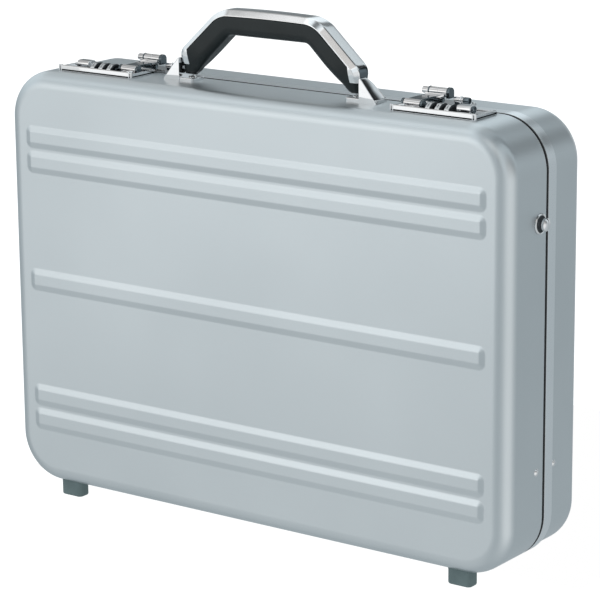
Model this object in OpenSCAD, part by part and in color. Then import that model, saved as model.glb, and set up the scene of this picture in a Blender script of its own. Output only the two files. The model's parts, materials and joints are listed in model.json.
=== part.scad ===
// Aluminium attache case: two drawn shells on a bottom hinge, a folding handle and two
// three-dial locks. Millimetres. X is the width, Y runs from the front (base) panel to the
// back (lid) panel and Z is up. The origin is under the middle of the case, on the plane of
// its feet. "Left" is -X, as seen by someone facing the front panel.

/* [Case] */
// Width of the closed case
case_w = 457; // [445:1:470]
// Height of the shells, without feet and handle
case_h = 330; // [320:1:345]
// Depth from the front panel to the back panel
case_d = 104; // [102:1:116]
// Corner radius of the outline
corner_r = 38; // [36:1:42]
// Radius of the rounded edge around each panel
edge_r = 12.7; // [11:0.1:14]
// Thickness of the aluminium sheet
sheet = 1.4; // [1.2:0.1:1.6]
// Height of the feet below the shells
foot_h = 12; // [12:1:16]

/* [Ribs] */
// Length of the pressed ribs
rib_len = 421; // [390:1:421]
// Width of one rib at its root
rib_w = 18.8; // [16:0.1:19]
// Height of the ribs above the panel
rib_rise = 1.8; // [1:0.1:2.4]
// Distance of the inner rib of each pair from the middle of the panel
rib_inner = 94.1; // [85:0.1:96]
// Distance between the two ribs of a pair
rib_pitch = 19.7; // [19.7:0.1:21]

/* [Handle] */
// Height of the handle above the shells
handle_rise = 58; // [54:1:64]
// Width of the grip, front to back
grip_w = 19; // [16:1:20]

/* [Locks] */
// Distance of each number dial's middle from the middle of the case
dial_x = [145.5, 153.5, 161.5];
// Radius of a number dial
dial_r = 7.5; // [7:0.1:7.5]
// Distance of each hasp from the middle of the case
hasp_x = 131.2; // [130.5:0.1:131.5]

/* [Stays] */
// Length of each stay link between its pivots
stay_len = 74; // [72:1:78]

/* [Hidden] */
$fn = 48;

// Colours
aluminium = [0.74, 0.77, 0.79];
rim_tone = [0.68, 0.71, 0.73];
chrome = [0.86, 0.88, 0.9];
steel = [0.6, 0.62, 0.64];
grip_black = [0.1, 0.13, 0.14];
foot_grey = [0.34, 0.42, 0.42];
lining_grey = [0.2, 0.21, 0.24];

// Main planes
front_y = -case_d / 2;
back_y = case_d / 2;
bottom_z = foot_h;
top_z = foot_h + case_h;
mid_z = foot_h + case_h / 2;
side_x = case_w / 2;

// Seam between base and lid: edge of the base shell, edge of the lid rim
seam_y = -2.1;
base_edge_y = -2.8;
lid_edge_y = -1.4;
rim_back_y = 11.8;
lid_inset = 1.6;
liner_gap = 0.1;
liner_t = 1.4;
fit = 0.05;

// Hinge along the bottom of the seam
hinge_z = bottom_z - 2.5;
knuckle_r = 2.45;
knuckle_len = 30;
knuckle_gap = 0.4;
hinge_len = 300;
hinge_pin_r = 1.2;
leaf_t = 1.2;
hinge_rivet_x = [-120, -60, 0, 60, 120];
base_leaf_rivet_y = -11.5;
lid_leaf_rivet_y = 9.55;
rivet_r = 1.5;
rivet_head = 0.8;

// Feet
foot_x = 183.1;
lid_foot_x = 152;
foot_y = 37.25;
foot_w = 20.2;
foot_d = 11.5;
foot_recess = 3.8;
foot_rivet_z = foot_recess - rivet_head;

// Shoulder strap studs
stud_y = -10.6;
stud_z = mid_z + 91.7;

// Lid stays
stay_z = mid_z - 91.2;
base_stay_y = -11.3;
lid_stay_y = 15.2;
link_t = 1.2;
base_link_x = side_x - 7.6;
lid_link_x = side_x - 9;
stay_lean = asin((lid_stay_y - base_stay_y) / 2 / stay_len);
knee_r = 1.5;
knee_slot_r = 3.8;

// Handle
pivot_y = -14;
pivot_z = top_z + 9.5;
handle_pin_r = 2.2;
bracket_in = 69.5;
cheek_in = 82;
bracket_out = 97.5;
arm_x = 81.7;
shoulder_x = 44;
trim_depth = 6;
trim_foot = 13;
core_w = 8;
trim_t = 1.4;

// Locks, as on the right-hand side
plate_in = 118.5;
plate_out = 189;
plate_front = -35;
plate_back = -5.5;
plate_t = 1.2;
plate_rim = 4.5;
lock_y = -22;
dial_z = top_z - 0.5;
dial_w = 6;
dial_axle_r = 1.6;
slide_in = 167.8;
slide_out = 180.3;
hasp_pivot_z = top_z + 4.5;
hasp_pin_r = 1.2;
hasp_in = 122.6;
hasp_out = 136.4;
barrel_y = 6.6;
barrel_z = top_z + 9;
case_in = 134.5;
case_out = 182.2;
lock_case_h = 12;
lock_screw_at = [[185, -10.5], [124, -29]];
catch_rivet_at = [[-11, 14], [24, 14]];

// ---- Helpers ----

// Swaps depth and height, so that outlines drawn flat stand up in the case
module stand() {
    translate([0, 0, mid_z]) mirror([0, 1, -1]) children();
}

module on_side(side) {
    if (side > 0) children();
    else mirror([1, 0, 0]) children();
}

module rounded(w, h, r) {
    square([w - 2 * r, h], center = true);
    square([w, h - 2 * r], center = true);
    for (x = [-1, 1], y = [-1, 1])
        translate([x * (w / 2 - r), y * (h / 2 - r)]) circle(r);
}

// Sweeps a profile around a rounded rectangle: profile x is outwards, profile y is height
module ring(w, h, r) {
    for (k = [0:3]) {
        run = k % 2 == 0 ? w : h;
        reach = k % 2 == 0 ? h : w;
        rotate([0, 0, 90 * k]) {
            translate([r - run / 2, reach / 2, 0])
                rotate([90, 0, 90]) linear_extrude(run - 2 * r) children();
            translate([run / 2 - r, reach / 2 - r, 0])
                rotate_extrude(angle = 90) translate([r, 0]) children();
        }
    }
}

module case_ring(inset) {
    stand() ring(case_w - 2 * inset, case_h - 2 * inset, corner_r - inset) children();
}

// A drawn tray: flat panel at height start, rounded edge, wall up to height depth
module tray(inset, thick, edge, start, depth) {
    w = case_w - 2 * inset;
    h = case_h - 2 * inset;
    r = corner_r - inset;
    ring(w, h, r) {
        translate([-thick, start + edge]) square([thick, depth - start - edge]);
        intersection() {
            translate([-edge, start + edge]) difference() {
                circle(edge);
                circle(edge - thick);
            }
            translate([-edge, start]) square(edge);
        }
    }
    translate([0, 0, start]) linear_extrude(thick) rounded(w - 2 * edge, h - 2 * edge, r - edge);
}

// One pressed rib with sloping flanks, rising towards -Z from z = 0
module rib() {
    flank = 4.5;
    root = 5;
    ring(rib_len, rib_w, root) polygon([[-flank, 0.3], [0, 0.3], [0, 0], [-flank, -rib_rise]]);
    translate([0, 0, -rib_rise])
        linear_extrude(rib_rise + 0.3)
            rounded(rib_len - 2 * flank, rib_w - 2 * flank, root - flank);
}

module ribs() {
    for (z = [-rib_inner - rib_pitch, -rib_inner, 0, rib_inner, rib_inner + rib_pitch])
        translate([0, z, 0]) rib();
}

module rod_x(x, y, z, len, r) {
    translate([x, y, z]) rotate([0, 90, 0]) cylinder(h = len, r = r);
}

module rods_z(spots, z, len, r) {
    for (p = spots) translate([p[0], p[1], z]) cylinder(h = len, r = r);
}

// Domed rivet head on a face that looks along +X
module dome_x(x, y, z, r, rise) {
    ball = (r * r + rise * rise) / (2 * rise);
    translate([x, y, z]) rotate([0, 90, 0]) intersection() {
        translate([0, 0, rise - ball]) sphere(ball);
        cylinder(h = rise, r = r);
    }
}

// ---- Fastener places, used for the fasteners and for their holes ----

bracket_screw_at = [[75.5, -14], [91, -17]];
base_hinge_spots = [for (x = hinge_rivet_x) [x, base_leaf_rivet_y]];
lid_hinge_spots = [for (x = hinge_rivet_x) [x, lid_leaf_rivet_y]];
base_foot_spots = [for (s = [-1, 1]) [s * foot_x, -foot_y]];
lid_foot_spots = [for (s = [-1, 1]) [s * lid_foot_x, foot_y]];
lock_screw_spots = [for (s = [-1, 1], p = lock_screw_at) [s * p[0], p[1]]];
bracket_screw_spots = [for (s = [-1, 1], p = bracket_screw_at) [s * p[0], p[1]]];
catch_spots = [for (s = [-1, 1], p = catch_rivet_at) [s * hasp_x + p[0], p[1]]];

module low_cut() {
    rods_z(base_hinge_spots, 0, bottom_z + 12, rivet_r + fit);
    rods_z(lid_hinge_spots, 0, bottom_z + 12, rivet_r + fit);
    rods_z(base_foot_spots, 0, bottom_z + 12, rivet_r + fit);
    rods_z(lid_foot_spots, 0, bottom_z + 12, rivet_r + fit);
}

module top_cut() {
    rods_z(lock_screw_spots, top_z - 12, 20, rivet_r + fit);
    rods_z(bracket_screw_spots, top_z - 12, 14, rivet_r + fit);
    rods_z(catch_spots, top_z - 12, 20, rivet_r + fit);
}

module side_cut() {
    for (s = [-1, 1]) on_side(s) {
        rod_x(side_x - 12, base_stay_y, stay_z, 16, rivet_r + fit);
        rod_x(side_x - 12, lid_stay_y, stay_z, 16, rivet_r + fit);
        rod_x(side_x - 12, stud_y, stud_z, 16, 2 + fit);
    }
}

// ---- Base ----

module base_shell() {
    color(aluminium) difference() {
        stand() translate([0, 0, front_y]) {
            tray(0, sheet, edge_r, 0, base_edge_y - front_y);
            ribs();
        }
        low_cut();
        top_cut();
        side_cut();
        for (s = [-1, 1]) on_side(s)
            translate([case_in + 1.2, -31, top_z - 4]) cube([case_out - case_in - 2.4, 18, 8]);
    }
}

// Extruded frame inside the base edge, with the tongue that enters the lid
module base_rim() {
    color(rim_tone) difference() {
        case_ring(0) polygon([
            [-sheet, -15], [-sheet, base_edge_y], [-3.9, base_edge_y], [-3.9, 1.8], [-5.2, 1.8],
            [-5.2, -5], [-3.4, -7], [-3.4, -15]
        ]);
        low_cut();
        top_cut();
        side_cut();
        rods_z(bracket_screw_spots, top_z - 8, 8, 3.3);
        for (s = [-1, 1]) on_side(s)
            translate([case_in - 0.2, -32.7, top_z - 20]) cube([case_out - case_in + 0.4, 21.4, 30]);
    }
}

// Lining boards: one on the panel and one along each straight wall, from wall_start to wall_end
module lining(inset, panel_start, wall_start, wall_end) {
    reach = case_w / 2 - corner_r;
    rise = case_h / 2 - corner_r;
    translate([0, 0, panel_start])
        linear_extrude(liner_t) rounded(case_w - 2 * edge_r, case_h - 2 * edge_r, corner_r - edge_r);
    translate([0, 0, wall_start]) linear_extrude(wall_end - wall_start) for (s = [-1, 1]) {
        translate([-reach, s * (case_h / 2 - inset - liner_t / 2) - liner_t / 2])
            square([2 * reach, liner_t]);
        translate([s * (case_w / 2 - inset - liner_t / 2) - liner_t / 2, -rise])
            square([liner_t, 2 * rise]);
    }
}

module base_liner() {
    inset = sheet + liner_gap;
    color(lining_grey) difference() {
        stand() translate([0, 0, front_y]) lining(inset, inset, edge_r, -15.2 - front_y);
        low_cut();
        side_cut();
        translate([-190, -40, top_z - 16]) cube([380, 50, 20]);
    }
}

module strap_stud(side) {
    head_x = side_x + 3.4;
    color(chrome) on_side(side) {
        dome_x(side_x, stud_y, stud_z, 7.6, 1.4);
        rod_x(side_x - 8.2, stud_y, stud_z, 12.5, 2);
        rod_x(side_x + 0.8, stud_y, stud_z, 3, 2.8);
        rod_x(head_x, stud_y, stud_z, 2.4, 4.8);
        dome_x(head_x + 2.4, stud_y, stud_z, 4.8, 1.2);
        rod_x(side_x - 7.2, stud_y, stud_z, 1.8, 3.6);
    }
}

// ---- Lid ----

module lid_shell() {
    color(aluminium) difference() {
        stand() translate([0, 0, back_y]) mirror([0, 0, 1]) {
            tray(lid_inset, sheet, edge_r, 0, back_y - 7.1);
            ribs();
        }
        low_cut();
        top_cut();
        side_cut();
    }
}

// Extruded frame around the lid edge, the light band beside the seam
module lid_rim() {
    color(rim_tone) difference() {
        case_ring(0) polygon([
            [-1.2, lid_edge_y], [0, 3], [0, rim_back_y - 0.5], [-0.5, rim_back_y],
            [-lid_inset, rim_back_y], [-lid_inset, 7.1], [-6, 7.1], [-6, 4.7], [-3.4, 4.7],
            [-3.4, lid_edge_y]
        ]);
        low_cut();
        top_cut();
        side_cut();
    }
}

module lid_seal() {
    color([0.12, 0.12, 0.13])
        case_ring(0) polygon([[-5.8, 2.9], [-5, 2.2], [-3.4, 2.2], [-3.4, 4.7], [-5.8, 4.7]]);
}

module lid_liner() {
    inset = lid_inset + sheet + liner_gap;
    color(lining_grey) difference() {
        stand() translate([0, 0, back_y]) mirror([0, 0, 1])
            lining(inset, sheet + liner_gap, edge_r, back_y - 20);
        low_cut();
        side_cut();
    }
}

// Flat document pocket on the lid lining
module document_pocket() {
    color([0.14, 0.15, 0.17]) translate([0, back_y - 2.9, mid_z]) rotate([90, 0, 0]) {
        linear_extrude(2) rounded(400, 262, 10);
        translate([0, -46, 2]) linear_extrude(5) rounded(392, 160, 8);
        translate([0, -66, 7]) linear_extrude(4) rounded(380, 112, 8);
    }
}

module catch(side) {
    y = 8;
    translate([side * hasp_x, 0, 0]) color(chrome) difference() {
        union() {
            translate([-14, 3.1, top_z]) cube([41, 14.4, 1.2]);
            translate([-14, 12.1, top_z - lid_inset]) cube([41, 5.4, lid_inset + 0.4]);
            translate([-6.5, 3.4, top_z + 0.6]) cube([13, 2.2, 3.8]);
            translate([14.5, y - 1.4, top_z + 0.6]) cube([11, 2.8, 3.2]);
            rod_x(14, y, top_z + 4, 13, 2.2);
            rod_x(19, y, top_z + 4, 1.6, 2.8);
            rod_x(22, y, top_z + 4, 5, 2.5);
        }
        rods_z(catch_rivet_at, top_z - 5, 12, rivet_r + fit);
    }
}

module catch_rivets() {
    color(chrome) for (p = catch_spots) translate([p[0], p[1], 0]) {
        translate([0, 0, top_z - 4.4]) cylinder(h = 5.6, r = rivet_r);
        translate([0, 0, top_z + 1.2]) cylinder(h = 0.9, r1 = 2.6, r2 = 1.6);
        translate([0, 0, top_z - 4.4]) cylinder(h = 1.4, r = 2.5);
    }
}

// ---- Hinge ----

module hinge_leaf(first, y_near, y_far) {
    count = hinge_len / knuckle_len;
    bore = first == 0 ? hinge_pin_r : hinge_pin_r + 0.06;
    near = min(y_near, y_far);
    spots = first == 0 ? base_hinge_spots : lid_hinge_spots;
    color(steel) difference() {
        union() {
            translate([-hinge_len / 2, near, bottom_z - leaf_t])
                cube([hinge_len, abs(y_far - y_near), leaf_t]);
            for (k = [first:2:count - 1]) {
                x = -hinge_len / 2 + k * knuckle_len + knuckle_gap / 2;
                rod_x(x, seam_y, hinge_z, knuckle_len - knuckle_gap, knuckle_r);
                translate([x, min(seam_y, y_near), bottom_z - leaf_t])
                    cube([knuckle_len - knuckle_gap, abs(y_near - seam_y) + 0.1, leaf_t - 0.1]);
            }
        }
        rod_x(-hinge_len / 2 - 1, seam_y, hinge_z, hinge_len + 2, bore);
        rods_z(spots, 0, bottom_z + 1, rivet_r + fit);
    }
}

module hinge_base_leaf() {
    hinge_leaf(0, -5.2, -17);
}

module hinge_lid_leaf() {
    hinge_leaf(1, 3, rim_back_y);
}

module hinge_pin() {
    color(steel) rod_x(-hinge_len / 2 - 0.5, seam_y, hinge_z, hinge_len + 1, hinge_pin_r - 0.01);
}

// Rivets through a hinge leaf or a foot, with a lower and an upper head
module low_rivets(spots, low, upper) {
    color(steel) for (p = spots) translate([p[0], p[1], 0]) {
        translate([0, 0, low]) cylinder(h = upper - low, r = rivet_r);
        translate([0, 0, low]) cylinder(h = rivet_head, r = 2.3);
        translate([0, 0, upper]) cylinder(h = 0.9, r = 2.4);
    }
}

// ---- Feet ----

// Foot block whose top follows the rounded edge of the shell; edge_z is the shell's bottom
module foot(x, side_y, edge_z) {
    flat_end = case_d / 2 - edge_r;
    color(foot_grey) difference() {
        translate([x, side_y * foot_y, 0]) linear_extrude(foot_h + 3) rounded(foot_w, foot_d, 3.2);
        translate([x - foot_w, side_y > 0 ? 0 : -flat_end, edge_z])
            cube([2 * foot_w, flat_end, 10]);
        rod_x(x - foot_w, side_y * flat_end, edge_z + edge_r, 2 * foot_w, edge_r);
        translate([x, side_y * foot_y, -1]) cylinder(h = foot_recess + 1, r = 2.9);
        translate([x, side_y * foot_y, -1]) cylinder(h = 30, r = rivet_r + fit);
    }
}

// ---- Stays ----

module stay_link(x, y, lean, far_r, far_bore, body_r) {
    translate([x, y, stay_z]) rotate([-lean, 0, 0]) rotate([90, 0, 90]) linear_extrude(link_t)
        difference() {
            union() {
                circle(body_r);
                translate([-body_r, 0]) square([2 * body_r, stay_len]);
                translate([0, stay_len]) circle(far_r);
            }
            circle(rivet_r + fit);
            translate([0, stay_len]) circle(far_bore);
        }
}

module stay_base_link(side) {
    knee_y = (base_stay_y + lid_stay_y) / 2;
    knee_z = stay_z + stay_len * cos(stay_lean);
    color(steel) on_side(side) {
        stay_link(base_link_x, base_stay_y, stay_lean, 5, knee_r, 4);
        rod_x(lid_link_x - 0.9, knee_y, knee_z, link_t + base_link_x - lid_link_x + 0.9, knee_r);
        rod_x(lid_link_x - 1.1, knee_y, knee_z, 0.8, 5);
    }
}

module stay_lid_link(side) {
    color(steel) on_side(side)
        stay_link(lid_link_x, lid_stay_y, -stay_lean, 6.2, knee_slot_r, 4);
}

module base_stay_rivets() {
    inner = base_link_x - 1;
    wall = side_x - 3.4;
    color(chrome) for (s = [-1, 1]) on_side(s) {
        dome_x(side_x, base_stay_y, stay_z, 2.75, 1.3);
        rod_x(inner, base_stay_y, stay_z, side_x - inner, rivet_r);
        rod_x(inner, base_stay_y, stay_z, 0.8, 2.6);
        rod_x(base_link_x + link_t + 0.15, base_stay_y, stay_z, wall - base_link_x - link_t - 0.15, 2.6);
    }
}

module lid_stay_rivets() {
    inner = lid_link_x - 1;
    wall = side_x - lid_inset - sheet;
    color(chrome) for (s = [-1, 1]) on_side(s) {
        dome_x(side_x - lid_inset, lid_stay_y, stay_z, 2.6, 1.2);
        rod_x(inner, lid_stay_y, stay_z, side_x - lid_inset - inner, rivet_r);
        rod_x(inner, lid_stay_y, stay_z, 0.8, 2.6);
        rod_x(lid_link_x + link_t + 0.15, lid_stay_y, stay_z, wall - lid_link_x - link_t - 0.15, 2.6);
    }
}

// ---- Handle ----

module bracket(side) {
    color(chrome) on_side(side) difference() {
        union() {
            translate([bracket_in, -22, top_z]) cube([bracket_out - bracket_in, 16, 2.6]);
            intersection() {
                translate([0, -5, top_z]) rotate([90, 0, 0]) linear_extrude(17)
                    polygon([[cheek_in, 0], [bracket_out, 0], [cheek_in + 1.6, 17], [cheek_in, 17]]);
                rod_x(cheek_in, -26, top_z - 2, 20, 20);
            }
        }
        rod_x(cheek_in - 1, pivot_y, pivot_z, 7, handle_pin_r);
        rods_z(bracket_screw_at, top_z - 1, 3.2, rivet_r + fit);
    }
}

module bracket_screws() {
    color(steel) for (p = bracket_screw_spots) translate([p[0], p[1], top_z - sheet - 1.6]) {
        cylinder(h = 1.6, r = 3);
        cylinder(h = sheet + 1.6 + 2.1, r = rivet_r);
    }
}

// Points along an arc, in n equal steps from angle a0 to a1
function arc(cx, cy, r, a0, a1, n) = [
    for (i = [0:n]) [cx + r * cos(a0 + (a1 - a0) * i / n), cy + r * sin(a0 + (a1 - a0) * i / n)]
];

// Right half of the handle's outer line, moved inwards by d; heights above the shells
slope = 42.6;
shoulder_r = 28;
function outer_half(d) =
    let (r = shoulder_r - d)
    let (cx = shoulder_x - shoulder_r * tan(slope / 2))
    let (cy = handle_rise - shoulder_r)
    let (drop = cx + (r * sin(slope)), dz = cy + r * cos(slope))
    concat(
        arc(cx, cy, r, 90, 90 - slope, 10),
        [[arm_x - d * 0.6, dz - (arm_x - d * 0.6 - drop) * tan(slope)]]
    );

function mirrored(points) = [for (i = [len(points) - 1:-1:0]) [-points[i][0], points[i][1]]];

// Arch of the handle between its outer line and its finger side
inner_half = concat(
    [[arm_x, 4.6], [71, 4.9]],
    arc(32.5, 30.5, 8, 43, 90, 6)
);

module arch() {
    right = concat(outer_half(0), inner_half);
    polygon(concat(right, mirrored(right)));
}

// Region outside the line that lies d under the outer line, ending above the brackets
module outer_zone(d, foot) {
    difference() {
        translate([-arm_x, foot]) square([2 * arm_x, handle_rise + 5 - foot]);
        polygon(concat(
            mirrored(concat(outer_half(d), [[arm_x - d, 0]])),
            concat(outer_half(d), [[arm_x - d, 0]])
        ));
    }
}

module handle_upright(w) {
    translate([0, pivot_y + w / 2, top_z]) rotate([90, 0, 0]) linear_extrude(w) children();
}

// Side view of the grip: full width above, narrowing to a round end at the pivot
module grip_side() {
    translate([0, 9.5]) circle(4.9);
    polygon([[-4.9, 9.5], [4.9, 9.5], [6.2, 14], [grip_w / 2, 26], [grip_w / 2, handle_rise + 2],
        [-grip_w / 2, handle_rise + 2], [-grip_w / 2, 26], [-6.2, 14]]);
}

module handle_body() {
    intersection() {
        handle_upright(grip_w) arch();
        translate([-arm_x, pivot_y, top_z]) rotate([90, 0, 90]) linear_extrude(2 * arm_x) grip_side();
    }
}

module core_solid() {
    handle_upright(core_w) difference() {
        intersection() {
            arch();
            translate([-78, 14]) square([156, 60]);
            outer_zone(14, 12);
        }
        outer_zone(9, 0);
    }
}

// The handle's outer layer, which is the chrome trim: thin on top, deeper at front and back
module trim_zone() {
    handle_upright(grip_w + 2) outer_zone(trim_t, trim_foot);
    for (s = [-1, 1]) translate([0, s * (grip_w / 2 - trim_t + 5), 0])
        handle_upright(10) outer_zone(trim_depth, trim_foot);
}

module handle_grip() {
    color(grip_black) difference() {
        handle_body();
        trim_zone();
        for (s = [-1, 1]) on_side(s)
            rod_x(70, pivot_y, pivot_z, 20, handle_pin_r + 0.06);
        core_solid();
    }
}

module handle_trim() {
    color(chrome) intersection() {
        handle_body();
        trim_zone();
    }
}

module handle_core() {
    color(steel) core_solid();
}

module handle_pins() {
    color(steel) for (s = [-1, 1]) on_side(s)
        rod_x(72.5, pivot_y, pivot_z, cheek_in + 6 - 72.5, handle_pin_r - 0.01);
}

// ---- Locks ----

module lock_plate(side) {
    color(chrome) on_side(side) difference() {
        union() {
            translate([plate_in, plate_front, top_z])
                cube([plate_out - plate_in, plate_back - plate_front, plate_t]);
            translate([plate_in, plate_front, top_z]) cube([plate_out - plate_in, 1.4, plate_rim]);
            for (x = [plate_in, plate_out - 1.4])
                translate([x, plate_front, top_z]) cube([1.4, plate_back - plate_front, 3.2]);
            for (x = [plate_in + 1.2, plate_out - 1.2])
                translate([x, plate_front + 1.1, top_z]) cylinder(h = plate_rim + 0.2, r = 1.7);
            for (x = [hasp_in - 2.2, hasp_out + 0.3]) {
                translate([x, lock_y - 3, top_z]) cube([1.9, 6, 4.5]);
                rod_x(x, lock_y, hasp_pivot_z, 1.9, 3);
            }
            translate([hasp_in - 1, -31, top_z]) cube([13, 4, 3.4]);
        }
        translate([139.3, -30, top_z - 1]) cube([28.4, 16, 5]);
        translate([170.2, -23.4, top_z - 1]) cube([11.6, 4.8, 5]);
        rod_x(plate_in, lock_y, hasp_pivot_z, 24, hasp_pin_r);
        rods_z(lock_screw_at, top_z - 1, 10, rivet_r + fit);
    }
}

// Box under the plate that carries the dial axle and hides the mechanism
module lock_case(side) {
    low = top_z - sheet - lock_case_h;
    color(steel) on_side(side) difference() {
        union() {
            difference() {
                translate([case_in, -32.5, low])
                    cube([case_out - case_in, 21, lock_case_h]);
                translate([case_in + 1, -31.5, low + 1])
                    cube([case_out - case_in - 2, 19, lock_case_h]);
            }
            for (x = [139.6, 165.9])
                translate([x, lock_y - 3, low]) cube([1.5, 6, top_z + 1.6 - low]);
        }
        rod_x(130, lock_y, dial_z, 45, dial_axle_r);
    }
}

module lock_screws() {
    color(chrome) for (p = lock_screw_spots) translate([p[0], p[1], 0]) {
        translate([0, 0, top_z - 4.6]) cylinder(h = 5, r = rivet_r);
        translate([0, 0, top_z + 0.4]) cylinder(h = plate_t - 0.4, r = rivet_r);
        translate([0, 0, top_z + (p[1] < -20 ? 3.4 : plate_t)]) cylinder(h = 1, r1 = 2.7, r2 = 2);
        translate([0, 0, top_z + plate_t - 0.1])
            cylinder(h = (p[1] < -20 ? 3.4 : plate_t) - plate_t + 0.2, r = rivet_r);
        translate([0, 0, top_z - 4.6]) cylinder(h = 1.2, r = 2.5);
    }
}

module dial(side, k) {
    color(steel) on_side(side) difference() {
        rod_x(dial_x[k] - dial_w / 2, lock_y, dial_z, dial_w, dial_r);
        rod_x(dial_x[k] - dial_w, lock_y, dial_z, 2 * dial_w, dial_axle_r + 0.06);
        for (i = [0:9]) translate([dial_x[k] + 1.4, lock_y, dial_z]) rotate([36 * i + 18, 0, 0])
            translate([0, 0, dial_r]) rotate([0, 90, 0]) cylinder(h = 3, r = 1, $fn = 4);
    }
}

module dial_axles() {
    color(steel) for (s = [-1, 1]) on_side(s)
        rod_x(139.45, lock_y, dial_z, 28.1, dial_axle_r - 0.01);
}

module slide(side) {
    color(chrome) on_side(side) {
        translate([slide_in, -25.5, top_z + 1.5]) cube([slide_out - slide_in, 9.5, 5.9]);
        translate([slide_in + 2.8, -22.9, top_z - 6]) cube([4.6, 3.8, 8]);
    }
}

// Flap that reaches over the seam, with a rolled finger barrel at its free end
module hasp(side) {
    x = side * hasp_x;
    color(chrome) {
        on_side(side) difference() {
            union() {
                rod_x(hasp_in, lock_y, hasp_pivot_z, hasp_out - hasp_in, 3);
                translate([hasp_in + 1, lock_y, top_z + 5.2]) cube([11.8, 29, 1.8]);
            }
            rod_x(hasp_in - 1, lock_y, hasp_pivot_z, 16, hasp_pin_r + fit);
        }
        translate([x - 9, -2, top_z + 5.2]) cube([17, 9.4, 1.3]);
        translate([x - 6, 6.1, top_z + 1.7]) cube([12, 1.3, 6]);
        rod_x(x - 12.2, barrel_y, barrel_z, 6, 2.5);
        rod_x(x - 6.4, barrel_y, barrel_z, 1.2, 3.3);
        rod_x(x - 5.4, barrel_y, barrel_z, 15, 3);
        rod_x(x + 9.5, barrel_y, barrel_z, 2.8, 3.6);
        translate([x + 9.5, barrel_y - 3.6, top_z + 4.6]) cube([2.8, 7.2, 4.4]);
        translate([x - 9, 3.6, top_z + 5.2]) cube([17, 3.8, 3]);
    }
}

module hasp_pins() {
    color(steel) for (s = [-1, 1]) on_side(s)
        rod_x(hasp_in - 2.1, lock_y, hasp_pivot_z, hasp_out - hasp_in + 4.2, hasp_pin_r - 0.01);
}

base_shell();
base_rim();
base_liner();
lid_shell();
lid_rim();
lid_seal();
lid_liner();
document_pocket();
hinge_base_leaf();
hinge_lid_leaf();
hinge_pin();
low_rivets(base_hinge_spots, bottom_z - leaf_t - rivet_head, bottom_z + 3.4);  // hinge_base_rivets
low_rivets(lid_hinge_spots, bottom_z - leaf_t - rivet_head, bottom_z + 3);  // hinge_lid_rivets
foot(-foot_x, -1, bottom_z);  // base_foot_left
foot(foot_x, -1, bottom_z);  // base_foot_right
foot(-lid_foot_x, 1, bottom_z + lid_inset);  // lid_foot_left
foot(lid_foot_x, 1, bottom_z + lid_inset);  // lid_foot_right
low_rivets(base_foot_spots, foot_rivet_z, bottom_z + 3);  // base_foot_rivets
low_rivets(lid_foot_spots, foot_rivet_z, bottom_z + 4.6);  // lid_foot_rivets
strap_stud(-1);  // strap_stud_left
strap_stud(1);  // strap_stud_right
base_stay_rivets();
lid_stay_rivets();
stay_base_link(-1);  // stay_base_link_left
stay_base_link(1);  // stay_base_link_right
stay_lid_link(-1);  // stay_lid_link_left
stay_lid_link(1);  // stay_lid_link_right
bracket(-1);  // bracket_left
bracket(1);  // bracket_right
bracket_screws();
handle_grip();
handle_trim();
handle_core();
handle_pins();
lock_plate(-1);  // lock_plate_left
lock_plate(1);  // lock_plate_right
lock_case(-1);  // lock_case_left
lock_case(1);  // lock_case_right
lock_screws();
hasp(-1);  // hasp_left
hasp(1);  // hasp_right
hasp_pins();
slide(-1);  // slide_left
slide(1);  // slide_right
dial(-1, 0);  // dial_left_1
dial(-1, 1);  // dial_left_2
dial(-1, 2);  // dial_left_3
dial(1, 0);  // dial_right_1
dial(1, 1);  // dial_right_2
dial(1, 2);  // dial_right_3
dial_axles();
catch(-1);  // catch_left
catch(1);  // catch_right
catch_rivets();
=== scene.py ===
"""Looks of the aluminium attache case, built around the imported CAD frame.

Shapes are written in millimetres and scaled to metres when a piece is made. X is the width, Y runs
from the front (base) panel to the back (lid) panel and Z is up. Pieces that come in pairs are built
for the right-hand side and mirrored.
"""

import json
from math import asin, atan2, cos, pi, radians, sin, sqrt, tan

import bmesh
import bpy
from mathutils import Matrix, Vector
from mathutils.geometry import tessellate_polygon


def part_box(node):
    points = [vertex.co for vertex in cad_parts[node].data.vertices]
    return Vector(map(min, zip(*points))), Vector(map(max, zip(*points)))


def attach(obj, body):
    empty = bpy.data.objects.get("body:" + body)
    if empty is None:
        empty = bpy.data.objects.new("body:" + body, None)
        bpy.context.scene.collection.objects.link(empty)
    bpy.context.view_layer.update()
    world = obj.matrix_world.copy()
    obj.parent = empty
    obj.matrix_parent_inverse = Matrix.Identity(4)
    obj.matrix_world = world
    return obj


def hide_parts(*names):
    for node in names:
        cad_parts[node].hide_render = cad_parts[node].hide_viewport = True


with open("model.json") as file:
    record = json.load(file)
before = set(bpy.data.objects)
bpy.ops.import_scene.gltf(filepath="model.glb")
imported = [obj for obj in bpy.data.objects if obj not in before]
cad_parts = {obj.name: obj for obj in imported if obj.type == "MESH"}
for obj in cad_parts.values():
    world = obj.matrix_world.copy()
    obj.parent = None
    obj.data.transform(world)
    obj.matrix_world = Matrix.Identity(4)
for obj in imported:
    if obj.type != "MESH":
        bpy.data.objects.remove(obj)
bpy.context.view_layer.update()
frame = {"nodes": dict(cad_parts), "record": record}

MM = 0.001
SIDES = {"left": -1, "right": 1}


def node_box(name):
    """Lowest and highest corner of a CAD node, in millimetres."""
    low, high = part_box(name)
    return low / MM, high / MM


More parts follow.
